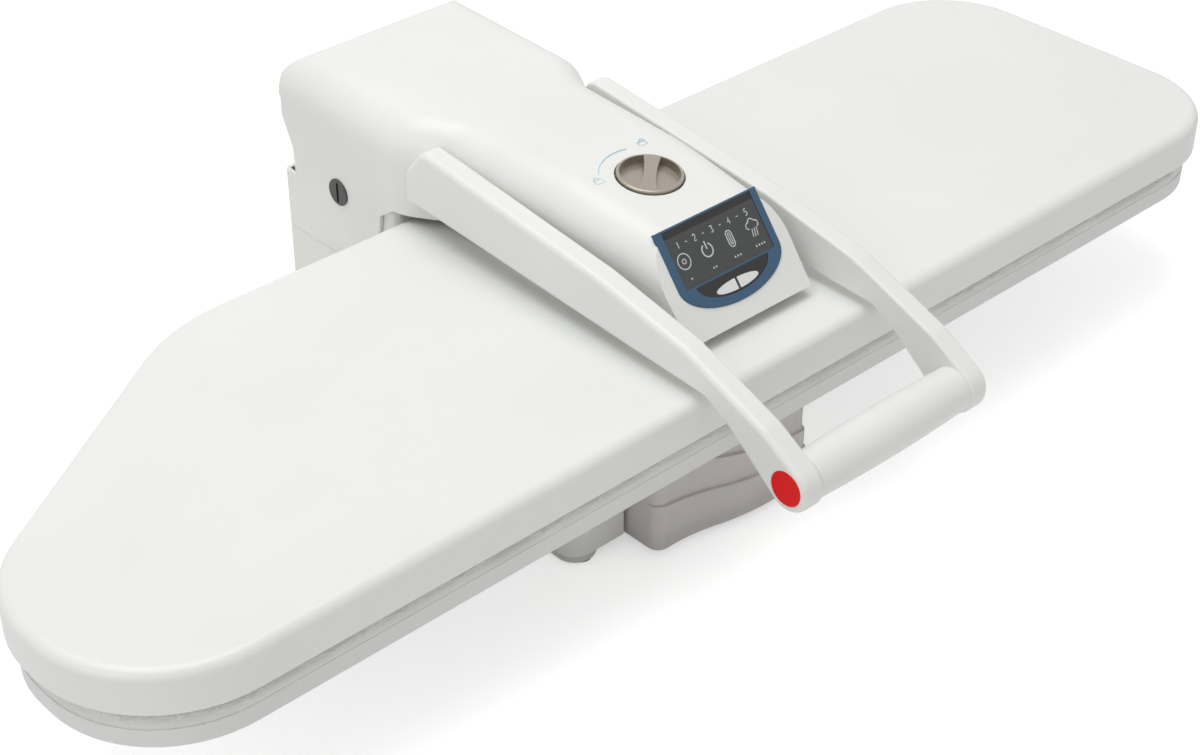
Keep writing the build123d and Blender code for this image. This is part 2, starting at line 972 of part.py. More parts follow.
with BuildPart() as right_arm:
    add(mirror(left_form, wall(0)))
    extrude(
        disc(wall(arm_inner), (grip_y, grip_z), grip_core_radius),
        amount=core_right - arm_inner,
        mode=Mode.SUBTRACT,
    )
save(right_arm, "right_arm")

with BuildPart() as handle_grip:
    with BuildSketch(level(grip_z)):
        with BuildLine():
            Line((-arm_inner, grip_y), (-arm_inner, grip_y + grip_end_radius))
            ThreePointArc(
                (-arm_inner, grip_y + grip_end_radius),
                (0, grip_y + grip_middle_radius),
                (arm_inner, grip_y + grip_end_radius),
            )
            Line((arm_inner, grip_y + grip_end_radius), (arm_inner, grip_y))
            Line((arm_inner, grip_y), (-arm_inner, grip_y))
        make_face()
    revolve(axis=Axis(at(0, grip_y, grip_z), (1, 0, 0)))
    extrude(
        disc(wall(-arm_inner), (grip_y, grip_z), grip_core_radius),
        amount=2 * arm_inner,
        mode=Mode.SUBTRACT,
    )
save(handle_grip, "handle_grip")

with BuildPart() as grip_core:
    extrude(
        disc(wall(-arm_inner - 2), (grip_y, grip_z), grip_core_radius, grip_core_radius - 1.5),
        amount=core_right + arm_inner + 2,
    )
save(grip_core, "grip_core")

button_back = -head_half_width - button_proud + button_thickness
with BuildPart() as steam_button:
    extrude(
        disc(wall(-head_half_width - button_proud), (grip_y, grip_z), button_radius),
        amount=button_thickness,
    )
    fillet(steam_button.faces().sort_by(Axis.X)[0].edges(), 1.0)
    extrude(disc(wall(button_back), (grip_y, grip_z), stem_radius), amount=stem_length)
save(steam_button, "steam_button")

switch_x = pocket_floor + 0.2 - head_half_width
with BuildPart() as button_switch:
    extrude(
        disc(wall(switch_x), (grip_y, grip_z), button_radius + running_gap, stem_radius + 0.4),
        amount=switch_sheet,
    )
save(button_switch, "button_switch")

# Lock: the knob on top turns a crank that slides a bar towards the column

knob_rest = 42.0
pin_radius = 2.5
crank_rest = -lock_turn / 2
slope = math.tan(math.radians(deck_tilt))
crank_drop = knob_top - bar_top - 2
crank_y = knob_y + (knob_top - lock_bar_z) * slope
bar_angle = math.radians(knob_rest)
scoop_radius = 108.0
scoop_offset = scoop_radius + knob_waist / 2

with BuildPart() as lock_knob:
    extrude(disc(deck(0.3 - knob_depth), (0, 0), knob_radius), amount=knob_depth + knob_proud - 0.3)
    fillet(lock_knob.faces().sort_by(Axis.Z)[-1].edges(), 1.2)
    for side in (-1, 1):
        away = side * scoop_offset
        with BuildSketch(deck(knob_proud - 5)):
            Circle(knob_radius - 2.6)
            with Locations((-away * math.sin(bar_angle), away * math.cos(bar_angle))):
                Circle(scoop_radius, mode=Mode.INTERSECT)
        extrude(amount=6, taper=-8, mode=Mode.SUBTRACT)
    extrude(
        disc(deck(-crank_drop), (0, 0), spindle_radius), amount=crank_drop + 0.5 - knob_depth
    )
    extrude(disc(deck(-crank_drop), (0, 0), crank_radius + pin_radius + 1), amount=2)
    lean = math.radians(crank_rest)
    pin = (crank_radius * math.cos(lean), crank_radius * math.sin(lean))
    extrude(
        disc(deck(-crank_drop - lock_bar_sheet - 1), pin, pin_radius),
        amount=lock_bar_sheet + 1,
    )
save(lock_knob, "lock_knob")

bar_front = crank_y - 22
drop_y = web_rear + 4
pin_y = crank_y + crank_radius * math.sin(math.radians(crank_rest))
slot_half = pin_radius + 0.7
with BuildPart() as lock_bar:
    extrude(
        shape(
            wall(-bar_half),
            (
                (bar_front, lock_bar_z),
                (bar_front, bar_top),
                (drop_y + lock_bar_sheet, bar_top),
                (drop_y + lock_bar_sheet, latch_z + lock_bar_sheet),
                (latch_end, latch_z + lock_bar_sheet),
                (latch_end, latch_z),
                (drop_y, latch_z),
                (drop_y, lock_bar_z),
            ),
        ),
        amount=lock_bar_width,
    )
    extrude(
        patch(level(lock_bar_z), (-bar_half, pin_y - 11), (crank_radius + 8, pin_y + 11), 3),
        amount=lock_bar_sheet,
    )
    extrude(
        patch(
            level(lock_bar_z),
            (1.5, pin_y - slot_half),
            (crank_radius + slot_half + 1.5, pin_y + slot_half),
        ),
        amount=lock_bar_sheet,
        mode=Mode.SUBTRACT,
    )
save(lock_bar, "lock_bar")

# Control panel

with BuildPart() as panel_bezel:
    extrude(bezel_area(panel(bezel_seat), 0), amount=bezel_thickness)
    fillet(panel_bezel.faces().sort_by(Axis(at(0, 0, 0), panel(0).z_dir))[-1].edges(), 0.6)
    extrude(window_area(panel(bezel_seat)), amount=bezel_thickness, mode=Mode.SUBTRACT)
    extrude(band_area(panel(bezel_seat)), amount=bezel_thickness, mode=Mode.SUBTRACT)
    extrude(
        patch(
            panel(bezel_seat), (-window_half_width, -window_top), (window_half_width, -1.2)
        ),
        amount=bezel_thickness,
        mode=Mode.SUBTRACT,
    )
save(panel_bezel, "panel_bezel")

insert_sheet = bezel_thickness - 0.4
with BuildPart() as panel_insert:
    extrude(
        patch(
            panel(bezel_seat), (-window_half_width, -window_top), (window_half_width, -1.2)
        ),
        amount=insert_sheet,
    )
    extrude(band_area(panel(bezel_seat)), amount=insert_sheet)
    for side in (-1, 1):
        extrude(
            set_button_area(panel(bezel_seat), side, 0.1),
            amount=insert_sheet,
            mode=Mode.SUBTRACT,
        )
save(panel_insert, "panel_insert")

with BuildPart() as display_window:
    extrude(window_area(panel(bezel_seat)), amount=insert_sheet)
save(display_window, "display_window")

board_face = bezel_seat - 1.9
with BuildPart() as panel_board:
    extrude(
        patch(panel(board_face - 1.6), (-38, -52), (38, -4), 4),
        amount=1.6,
    )
    extrude(window_area(panel(board_face), 4), amount=bezel_seat - board_face)
    extrude(patch(panel(board_face - 5.6), (-12, -30), (10, -12)), amount=4)
save(panel_board, "panel_board")


def set_button(side):
    """One half of the white rocker pair, with the stem that presses the board's key."""
    middle = side * (set_button_half_width / 2 + set_button_split / 4)
    with BuildPart() as button:
        extrude(set_button_area(panel(bezel_seat - 0.4), side, 0), amount=insert_sheet + 1.0)
        extrude(
            disc(panel(board_face + set_button_travel + 0.1), (middle, -set_button_v), 1.5),
            amount=bezel_seat - 0.4 - board_face - set_button_travel,
        )
    return button.part


with BuildPart() as set_button_left:
    add(set_button(-1))
save(set_button_left, "set_button_left")

with BuildPart() as set_button_right:
    add(set_button(1))
save(set_button_right, "set_button_right")

# Water line in the head: from the swivel on the hinge line to the pipe of the plate

hose_x = 22.0
swivel_length = 12.0
hose_level = web_top - frame_sheet - hose_radius - 0.5
swivel_spigot = pipe_radius
swivel_reach = 7.5
hose_bore = pipe_radius + running_gap
with BuildPart() as head_hose:
    with BuildLine():
        FilletPolyline(
            at(0, chamber_y, head_floor + 1),
            at(0, chamber_y, hose_level),
            at(0, post_rear_y - 7, hose_level),
            at(hose_x, web_rear + 2, hose_level),
            at(hose_x, pivot_y - 44, hose_level - 3),
            at(hose_x, pivot_y, pivot_z),
            at(0.3, pivot_y, pivot_z),
            radius=(8, 30, 30, 30, 13),
        )
    with BuildSketch(Plane(origin=at(0, chamber_y, head_floor + 1), z_dir=(0, 0, 1))):
        Circle(hose_radius)
        Circle(hose_bore, mode=Mode.SUBTRACT)
    sweep()
save(head_hose, "head_hose")

# The base: casing, column and board

def base_plan(z, inset=0):
    """Base seen from above: wide under the board, and as narrow as the column behind it."""
    side = bay_right + base_wall
    corners = (
        (-base_half_width, base_front, base_corner),
        (side, base_front, 2),
        (side, base_right_front, 2),
        (base_half_width, base_right_front, base_corner),
        (base_half_width, base_rear, base_corner),
        (column_half_width, base_rear, 6),
        (column_half_width, column_rear, column_corner),
        (-column_half_width, column_rear, column_corner),
        (-column_half_width, base_rear, 6),
        (-base_half_width, base_rear, base_corner),
    )
    with BuildSketch(level(z)) as sketch:
        with BuildLine():
            FilletPolyline(
                *[(x, y) for x, y, radius in corners],
                radius=[radius for x, y, radius in corners],
                close=True,
            )
        make_face()
        if inset:
            offset(amount=-inset, kind=Kind.INTERSECTION)
    return sketch.sketch


def column_plan(z, inset=0):
    """Column seen from above."""
    return shape(
        level(z),
        (
            (inset - column_half_width, column_front + inset),
            (column_half_width - inset, column_front + inset),
            (column_half_width - inset, column_rear - inset),
            (inset - column_half_width, column_rear - inset),
        ),
        (6, 6, column_corner - inset, column_corner - inset),
    )


def column_side(inset):
    """Column seen from the side, with the arc that clears the plate and the step up to the crown."""
    cheek = cheek_radius - inset
    reach = column_top_radius + 5
    step = math.radians(100) - inset / cheek
    foot = base_top - pivot_z - (20 if inset else 0)
    hinge = Plane(origin=at(-column_half_width, pivot_y, pivot_z), x_dir=(0, 1, 0), z_dir=(1, 0, 0))

    def spot(radius, angle):
        return (radius * math.cos(angle), radius * math.sin(angle))

    with BuildSketch(hinge) as sketch:
        with BuildLine():
            Polyline((reach, 0), (reach, foot), (-cheek, foot), (-cheek, 0))
            ThreePointArc((-cheek, 0), spot(cheek, (math.pi + step) / 2), spot(cheek, step))
            Line(spot(cheek, step), spot(reach, step))
            ThreePointArc(spot(reach, step), spot(reach, step / 2), (reach, 0))
        make_face()
    return sketch.sketch


def column_form(inset):
    """Column block, its top a barrel about the hinge line."""
    crown = column_top_radius - inset
    shoulder = column_shoulder - inset
    half = column_half_width - inset
    with BuildPart() as barrel:
        with BuildSketch(Plane(origin=at(0, pivot_y, pivot_z), x_dir=(1, 0, 0), z_dir=(0, -1, 0))):
            with BuildLine():
                Polyline((half, crown - shoulder), (half, 0), (-half, 0), (-half, crown - shoulder))
                CenterArc((shoulder - half, crown - shoulder), shoulder, 90, 90)
                Line((shoulder - half, crown), (half - shoulder, crown))
                CenterArc((half - shoulder, crown - shoulder), shoulder, 0, 90)
            make_face()
        revolve(axis=Axis(at(0, pivot_y, pivot_z), (1, 0, 0)))
        extrude(column_plan(base_top - 20, inset), amount=pivot_z - 10 - base_top + 20)
    low = base_top - 20 if inset else base_top
    with BuildPart() as plan:
        extrude(column_plan(low, inset), amount=200)
    with BuildPart() as form:
        extrude(column_side(inset), amount=2 * column_half_width)
        add(plan.part, mode=Mode.INTERSECT)
        add(barrel.part, mode=Mode.INTERSECT)
    return form.part


with BuildPart() as column_cover:
    add(column_form(0))
    add(column_form(column_wall), mode=Mode.SUBTRACT)
    extrude(
        patch(
            level(mouth_sill),
            (-mouth_half_width, column_front - 10),
            (mouth_half_width, pivot_y + mouth_rear),
        ),
        amount=column_top_radius + pivot_z,
        mode=Mode.SUBTRACT,
    )
    extrude(
        disc(wall(-column_half_width - 1), (pivot_y, pivot_z), shaft_radius + 0.8),
        amount=2 * column_half_width + 2,
        mode=Mode.SUBTRACT,
    )
save(column_cover, "column_cover")

column_inset = column_wall + 0.5
gland_y = base_rear - 30
gland_z = base_bottom + 26
gland_radius = 7.0
with BuildPart() as base_cells:
    extrude(base_plan(base_bottom, base_wall), amount=base_top - base_wall - base_bottom)
    extrude(
        patch(
            level(base_bottom),
            (bay_left - base_wall, base_front - 30),
            (bay_right + base_wall, bay_rear + base_wall),
        ),
        amount=base_top - base_bottom,
        mode=Mode.SUBTRACT,
    )

with BuildPart() as base_casing:
    extrude(base_plan(base_bottom), amount=base_top - base_bottom)
    fillet(base_casing.faces().sort_by(Axis.Z)[-1].edges(), 2)
    add(base_cells.part, mode=Mode.SUBTRACT)
    extrude(
        patch(level(base_bottom), (bay_left, base_front - 30), (bay_right, bay_rear)),
        amount=bay_ceiling - base_bottom,
        mode=Mode.SUBTRACT,
    )
    extrude(
        patch(
            level(base_top - 10),
            (column_inset - column_half_width, column_front + column_inset),
            (column_half_width - column_inset, column_rear - column_inset),
            4,
        ),
        amount=20,
        mode=Mode.SUBTRACT,
    )
    extrude(
        patch(level(base_bottom), (bay_left, bay_rear), (bay_right, bay_rear + base_wall)),
        amount=base_plate_sheet,
        mode=Mode.SUBTRACT,
    )
    extrude(
        disc(wall(base_half_width - 10), (gland_y, gland_z), gland_radius),
        amount=20,
        mode=Mode.SUBTRACT,
    )
    extrude(
        disc(front(bay_rear + 10), (dock_x, dock_z), dock_radius),
        amount=20,
        mode=Mode.SUBTRACT,
    )
save(base_casing, "base_casing")

floor_front = tank_chin_rear + 4
foot_x = base_half_width - foot_width / 2
rear_foot = (column_half_width - foot_width / 2 - 2, column_rear - foot_length / 2 - 2)
foot_places = (
    (-foot_x, base_front + foot_length / 2),
    (foot_x, base_right_front + foot_length / 2),
    (-rear_foot[0], rear_foot[1]),
    rear_foot,
)
screw_shift = foot_screw_pitch / 2
plate_screws = [(x + dx, y) for x, y in foot_places for dx in (-screw_shift, screw_shift)]
with BuildPart() as base_plate:
    extrude(base_plan(base_bottom, base_wall + 0.2), amount=base_plate_sheet)
    extrude(
        patch(
            level(base_bottom),
            (bay_left - base_wall, base_front - 30),
            (bay_right + base_wall, floor_front),
        ),
        amount=base_plate_sheet,
        mode=Mode.SUBTRACT,
    )
    extrude(
        patch(
            level(base_bottom),
            (bay_left - base_wall, base_front - 30),
            (bay_left, bay_rear + base_wall),
        ),
        amount=base_plate_sheet,
        mode=Mode.SUBTRACT,
    )
    extrude(
        patch(
            level(base_bottom),
            (bay_right, base_front - 30),
            (bay_right + base_wall, bay_rear + base_wall),
        ),
        amount=base_plate_sheet,
        mode=Mode.SUBTRACT,
    )
    extrude(
        discs(level(base_bottom), plate_screws, 2), amount=base_plate_sheet, mode=Mode.SUBTRACT
    )
save(base_plate, "base_plate")

with BuildPart() as base_feet:
    with BuildSketch(level(base_bottom)):
        with Locations(*foot_places):
            RectangleRounded(foot_width, foot_length, base_corner)
    extrude(amount=-foot_drop)
    fillet(base_feet.faces().sort_by(Axis.Z)[0:4].edges(), 1.5)
    extrude(
        discs(level(base_bottom - foot_drop), plate_screws, 4),
        amount=foot_drop - 1,
        mode=Mode.SUBTRACT,
    )
    extrude(discs(level(base_bottom - 1), plate_screws, 2), amount=1, mode=Mode.SUBTRACT)
save(base_feet, "base_feet")

with BuildPart() as rubber_feet:
    with BuildSketch(level(table)):
        for x, y in foot_places:
            with Locations((x, y - 13), (x, y + 13)):
                Circle(6)
    extrude(amount=base_bottom - foot_drop - table)
save(rubber_feet, "rubber_feet")

with BuildPart() as base_screws:
    seat = base_bottom - 1
    extrude(discs(level(seat - 2), plate_screws, 3.8), amount=2)
    extrude(discs(level(seat), plate_screws, 2), amount=base_plate_sheet + 4)
save(base_screws, "base_screws")

# Steel frame inside the column, with the bushes and springs of the hinge

plate_top = base_bottom + base_plate_sheet
cross_y = column_front + column_wall + 1.5
cross_top = 12.0
web_height = 14.0
frame_hub = 20.0
keeper_half = bar_half + 6
keeper_top = latch_z + lock_bar_sheet + 2.5
upright_points = (
    (upright_front, plate_top),
    (upright_front, base_top + 2),
    (cross_y, base_top + 2),
    (cross_y, cross_top),
    (pivot_y - frame_hub * 0.8, pivot_z + frame_hub * 0.6),
    (pivot_y + frame_hub * 0.8, pivot_z + frame_hub * 0.6),
    (upright_rear, web_height),
    (upright_rear, plate_top),
)
with BuildPart() as column_frame:
    for side in (-upright_inner - upright_sheet, upright_inner):
        extrude(shape(wall(side), upright_points), amount=upright_sheet)
        extrude(disc(wall(side), (pivot_y, pivot_z), frame_hub), amount=upright_sheet)
    extrude(
        patch(front(upright_rear), (-upright_inner, plate_top), (upright_inner, web_height)),
        amount=upright_sheet,
    )
    extrude(
        patch(
            front(cross_y + upright_sheet), (-upright_inner, base_top + 2), (upright_inner, cross_top)
        ),
        amount=upright_sheet,
    )
    extrude(
        patch(
            front(cross_y + upright_sheet), (-keeper_half, cross_top), (keeper_half, keeper_top)
        ),
        amount=upright_sheet,
    )
    extrude(
        patch(
            front(cross_y + upright_sheet),
            (-bar_half - 0.8, latch_z - 0.8),
            (bar_half + 0.8, latch_z + lock_bar_sheet + 0.5),
        ),
        amount=upright_sheet,
        mode=Mode.SUBTRACT,
    )
    extrude(
        patch(level(plate_top), (-upright_inner, upright_front), (upright_inner, upright_rear)),
        amount=upright_sheet,
    )
    extrude(
        disc(wall(-column_half_width), (pivot_y, pivot_z), cap_radius),
        amount=2 * column_half_width,
        mode=Mode.SUBTRACT,
    )
save(column_frame, "column_frame")

bush_flange = 2.0
with BuildPart() as hinge_bushes:
    for side in (-1, 1):
        collar = disc(
            wall(side * (upright_inner - bush_flange)),
            (pivot_y, pivot_z),
            cap_radius + 3,
            shaft_radius + running_gap,
        )
        extrude(collar, amount=side * bush_flange)
        barrel = disc(
            wall(side * upright_inner), (pivot_y, pivot_z), cap_radius, shaft_radius + running_gap
        )
        extrude(barrel, amount=side * (upright_sheet + 1.5))
save(hinge_bushes, "hinge_bushes")

counter_spring_pitch = counter_spring_wire + 1.1
print(
    "counter spring gap",
    round(
        coil_gap(
            counter_spring_radius, counter_spring_pitch, counter_spring_turns, counter_spring_wire
        ),
        2,
    ),
)


def counter_spring():
    """Right-hand spring round the hinge line, its tail on the frame's rear web."""
    start = flange_half_width + 0.5 + counter_spring_wire / 2
    base = Plane(origin=at(start, pivot_y, pivot_z), x_dir=(0, 0, -1), z_dir=(1, 0, 0))
    coil = coil_path(base, counter_spring_radius, counter_spring_pitch, counter_spring_turns)
    run = upright_rear - upright_sheet - counter_spring_wire / 2 - pivot_y
    with BuildLine() as path:
        add(coil)
        heading = coil % 1
        Line(coil @ 1, coil @ 1 + heading * (run / heading.Y))
    with BuildPart() as spring:
        with BuildSketch(Plane(origin=path.line @ 0, z_dir=path.line % 0)):
            Circle(counter_spring_wire / 2)
        sweep(path=path.line)
    return spring.part


right_spring = counter_spring()
with BuildPart() as counter_springs:
    add(right_spring)
    add(mirror(right_spring, wall(0)))
save(counter_springs, "counter_springs")

with BuildPart() as micro_switch:
    switch_rear = cross_y + upright_sheet
    extrude(patch(level(-10), (42, switch_rear), (58, switch_rear + 7), 1), amount=18)
    extrude(patch(level(8), (45, switch_rear + 1.5), (48, switch_rear + 5.5)), amount=2)
    extrude(
        patch(wall(43), (switch_rear + 1, 10), (switch_rear + 6, 10.6)), amount=13
    )
save(micro_switch, "micro_switch")

with BuildPart() as swivel_union:
    extrude(disc(wall(-swivel_length), (pivot_y, pivot_z), 7), amount=swivel_length)
    extrude(disc(wall(0), (pivot_y, pivot_z), swivel_spigot), amount=swivel_reach)
    extrude(patch(level(-33), (-9, pivot_y - 4), (-3, pivot_y + 4)), amount=33 + pivot_z)
    extrude(
        patch(level(-33), (-9, pivot_y - 4), (-3, upright_rear - upright_sheet)),
        amount=6,
    )
    extrude(
        disc(wall(-swivel_length), (pivot_y, pivot_z), 1.6),
        amount=swivel_length + swivel_reach,
        mode=Mode.SUBTRACT,
    )
save(swivel_union, "swivel_union")

# Board: bracket, perforated pan, pad and cover

edge_inset = board_inset + cloth
pan_floor = board_bottom + cloth
rail_top = pan_top - pan_sheet
rail_y = half_depth * 0.45
beam_x = base_half_width - 40
with BuildPart() as board_frame:
    for y in (-rail_y, rail_y):
        extrude(
            patch(
                level(rail_top - rail_depth),
                (-rail_span / 2, y - rail_width / 2),
                (rail_span / 2, y + rail_width / 2),
            ),
            amount=rail_depth,
        )
        extrude(
            patch(
                level(rail_top - rail_depth),
                (2 - rail_span / 2, y - rail_width / 2 + 2),
                (rail_span / 2 - 2, y + rail_width / 2 - 2),
            ),
            amount=rail_depth - 2,
            mode=Mode.SUBTRACT,
        )
    for x in (-beam_x, beam_x):
        extrude(
            patch(
                level(base_top),
                (x - rail_width, -rail_y - rail_width / 2 + 22),
                (x + rail_width, rail_y + rail_width / 2),
            ),
            amount=rail_top - rail_depth - base_top + 1.5,
        )
save(board_frame, "board_frame")

pan_columns = int((plate_length - 160) // pan_hole_pitch)
with BuildPart() as board_pan:
    extrude(plate_outline(pan_floor, edge_inset), amount=pan_top - pan_floor)
    extrude(
        plate_outline(pan_floor, edge_inset + pan_sheet),
        amount=pan_top - pan_floor - pan_sheet,
        mode=Mode.SUBTRACT,
    )
    with BuildSketch(level(pan_floor)):
        with Locations((0, -half_depth / 3)):
            with GridLocations(pan_hole_pitch, half_depth / 2, pan_columns, 2):
                Circle(pan_hole_diameter / 2)
        with Locations((half_length / 5, half_depth / 2)):
            with GridLocations(pan_hole_pitch, half_depth / 3, pan_columns - 6, 2):
                Circle(pan_hole_diameter / 2)
    extrude(amount=pan_top - pan_floor, mode=Mode.SUBTRACT)
save(board_pan, "board_pan")

with BuildPart() as board_pad:
    extrude(plate_outline(pan_top, edge_inset), amount=pad_thickness)
    fillet(board_pad.faces().sort_by(Axis.Z)[-1].edges(), board_edge_radius - cloth)
save(board_pad, "board_pad")

with BuildPart() as cover_core:
    extrude(plate_outline(pan_floor, edge_inset), amount=pad_top - pan_floor)
    fillet(cover_core.faces().sort_by(Axis.Z)[-1].edges(), board_edge_radius - cloth)

with BuildPart() as board_cover:
    extrude(plate_outline(board_bottom, board_inset), amount=board_band)
    fillet(board_cover.faces().sort_by(Axis.Z)[-1].edges(), board_edge_radius)
    add(cover_core.part, mode=Mode.SUBTRACT)
    extrude(
        plate_outline(board_bottom, board_inset + hem_width), amount=cloth, mode=Mode.SUBTRACT
    )
save(board_cover, "board_cover")

# Water tank in its bay, and the line from it to the hinge

tank_left = bay_left + tank_gap
tank_right = bay_right - tank_gap
tank_x = (tank_left + tank_right) / 2
tank_rear = bay_rear - 2
tank_top = bay_ceiling - tank_top_gap
tank_floor = plate_top + 0.3


def tank_plan(z, y_front, inset=0):
    """Tank seen from above; its front swells forward to the right in an easy double curve."""
    left, right = tank_left + inset, tank_right - inset
    rear = tank_rear - inset
    y = y_front + inset
    swell = (tank_bend_x + right) / 2
    with BuildSketch(level(z)) as sketch:
        with BuildLine():
            ThreePointArc(
                (left, y), ((left + tank_bend_x) / 2, y - 0.1), (tank_bend_x, y - tank_swell / 2)
            )
            ThreePointArc(
                (tank_bend_x, y - tank_swell / 2), (swell, y - tank_swell), (right, y - 0.6 * tank_swell)
            )
            Polyline((right, y - 0.6 * tank_swell), (right, rear), (left, rear), (left, y))
        make_face()
        fillet(sketch.vertices().sort_by(Axis.Y)[-2:], 10 - inset)
        sides = [v for v in sketch.vertices().sort_by(Axis.Y) if v.Y < -60]
        fillet([min(sides, key=lambda v: v.X), max(sides, key=lambda v: v.X)], tank_corner - inset)
    return sketch.sketch


def tank_step(y_front, middle, tilt):
    """One step of the tank's front, its top sloping down to the right."""
    slope = math.radians(tilt)
    normal = Vector(-math.sin(slope), 0, math.cos(slope))
    with BuildPart() as step:
        extrude(tank_plan(tank_floor, y_front), amount=tank_top - tank_floor)
        split(bisect_by=Plane(origin=at(tank_bend_x, 0, middle), z_dir=normal), keep=Keep.BOTTOM)
    return step.part


with BuildPart() as tank_chin_part:
    extrude(tank_plan(tank_floor - tank_chin, tank_front), amount=tank_chin)
    extrude(
        patch(level(tank_floor - tank_chin), (tank_left, tank_chin_rear), (tank_right, tank_rear)),
        amount=tank_chin,
        mode=Mode.SUBTRACT,
    )

with BuildPart() as water_tank:
    extrude(tank_plan(tank_floor, tank_front + 2 * tank_ledge), amount=tank_top - tank_floor)
    for count, (middle, tilt) in enumerate(tank_ledges):
        add(tank_step(tank_front + (1 - count) * tank_ledge, middle, tilt))
    add(tank_chin_part.part)
    extrude(
        tank_plan(tank_floor + tank_wall, tank_front + 2 * tank_ledge, tank_wall),
        amount=tank_top - tank_floor - 2 * tank_wall,
        mode=Mode.SUBTRACT,
    )
    extrude(
        disc(level(tank_top - tank_wall), (tank_x, filler_y), filler_radius - filler_lip),
        amount=tank_wall,
        mode=Mode.SUBTRACT,
    )
    extrude(
        disc(front(tank_rear), (dock_x, dock_z), dock_spigot * 2),
        amount=tank_wall,
        mode=Mode.SUBTRACT,
    )
save(water_tank, "water_tank")

with BuildPart() as tank_valve:
    extrude(
        disc(
            front(tank_rear + 1.7), (dock_x, dock_z), dock_spigot * 2, dock_spigot + running_gap
        ),
        amount=dock_reach + 3,
    )
    extrude(
        disc(
            front(tank_rear - tank_wall),
            (dock_x, dock_z),
            dock_spigot * 2 + 2.5,
            dock_spigot + running_gap,
        ),
        amount=2,
    )
save(tank_valve, "tank_valve")

with BuildPart() as tank_cap:
    extrude(disc(level(tank_top), (tank_x, filler_y), filler_radius), amount=3)
    fillet(tank_cap.faces().sort_by(Axis.Z)[-1].edges(), 1)
    extrude(
        disc(
            level(tank_top - filler_spigot),
            (tank_x, filler_y),
            filler_radius - filler_lip - running_gap,
        ),
        amount=filler_spigot,
    )
    for side in (-1, 1):
        extrude(
            patch(
                level(tank_top + 1),
                (tank_x - 12, filler_y + side * 8 - 4.5),
                (tank_x + 12, filler_y + side * 8 + 4.5),
                4,
            ),
            amount=3,
            mode=Mode.SUBTRACT,
        )
save(tank_cap, "tank_cap")

with BuildPart() as tank_dock:
    extrude(disc(front(bay_rear + 18), (dock_x, dock_z), dock_radius), amount=18)
    extrude(
        disc(front(bay_rear + base_wall + 3), (dock_x, dock_z), dock_radius + 4), amount=3
    )
    extrude(disc(front(bay_rear), (dock_x, dock_z), dock_spigot), amount=dock_reach)
    extrude(
        disc(front(bay_rear + 18), (dock_x, dock_z), dock_spigot - 1.6),
        amount=18 + dock_reach,
        mode=Mode.SUBTRACT,
    )
save(tank_dock, "tank_dock")

pump_y = 110.0
pump_z = dock_z
pump_radius = 17.0
pump_left = 8 - base_half_width
pump_right = pump_left + 44
outlet_x = pump_left + 25
riser_x = -24.0
with BuildPart() as pump:
    extrude(disc(wall(pump_left), (pump_y, pump_z), pump_radius), amount=pump_right - pump_left)
    extrude(disc(wall(pump_right), (pump_y, pump_z), 4), amount=8)
    extrude(disc(level(pump_z), (outlet_x, pump_y), 4), amount=pump_radius + 6)
    extrude(
        patch(level(plate_top), (pump_left + 6, pump_y - 14), (pump_right - 6, pump_y + 14), 2),
        amount=pump_z - plate_top - 4,
    )
save(pump, "pump")

with BuildPart() as suction_hose:
    with BuildLine():
        FilletPolyline(
            at(dock_x, bay_rear + 18, dock_z),
            at(dock_x, pump_y, dock_z),
            at(pump_right + 8, pump_y, pump_z),
            radius=13,
        )
    with BuildSketch(Plane(origin=at(dock_x, bay_rear + 18, dock_z), z_dir=(0, 1, 0))):
        Circle(hose_radius)
    sweep()
with BuildPart() as riser:
    with BuildLine():
        FilletPolyline(
            at(outlet_x, pump_y, pump_z + pump_radius + 6),
            at(outlet_x, pump_y, base_top - 13),
            at(riser_x, pivot_y - 14, base_top - 13),
            at(riser_x, pivot_y, pivot_z),
            at(-swivel_length, pivot_y, pivot_z),
            radius=(12, 24, 10),
        )
    with BuildSketch(Plane(at(outlet_x, pump_y, pump_z + pump_radius + 6))):
        Circle(hose_radius)
    sweep()
with BuildPart() as base_hoses:
    add(suction_hose.part)
    add(riser.part)
save(base_hoses, "base_hoses")

# Electrics in the base

card_right = base_half_width - 6
card_left = card_right - 50
card_top = plate_top + 7.6
with BuildPart() as power_board:
    extrude(patch(level(plate_top + 6), (card_left, 68), (card_right, 152), 3), amount=1.6)
    corners = [(x, y) for x in (card_left + 5, card_right - 5) for y in (73, 147)]
    extrude(discs(level(plate_top), corners, 3), amount=6)
    extrude(patch(level(card_top), (card_left + 8, 112), (card_left + 38, 140), 2), amount=22)
    extrude(patch(level(card_top), (card_left + 8, 76), (card_left + 26, 94)), amount=14)
    extrude(discs(level(card_top), ((card_left + 38, 80), (card_left + 38, 96)), 6), amount=20)
save(power_board, "power_board")

with BuildPart() as cord_gland:
    extrude(disc(wall(base_half_width - 7), (gland_y, gland_z), gland_radius), amount=11)
    extrude(disc(wall(base_half_width), (gland_y, gland_z), 11), amount=4)
    extrude(disc(wall(base_half_width - 7), (gland_y, gland_z), 11), amount=7 - base_wall)
    extrude(disc(wall(base_half_width + 4), (gland_y, gland_z), 8), amount=9, taper=10)
    extrude(
        disc(wall(base_half_width - 7), (gland_y, gland_z), 3.5), amount=22, mode=Mode.SUBTRACT
    )
save(cord_gland, "cord_gland")

with BuildPart() as head_screws:
    extrude(
        discs(
            level(web_top - frame_sheet - 2),
            [(x, y) for x in (-boss_x, boss_x) for y in (boss_front_y, boss_rear_y)],
            3.8,
        ),
        amount=2,
    )
save(head_screws, "head_screws")
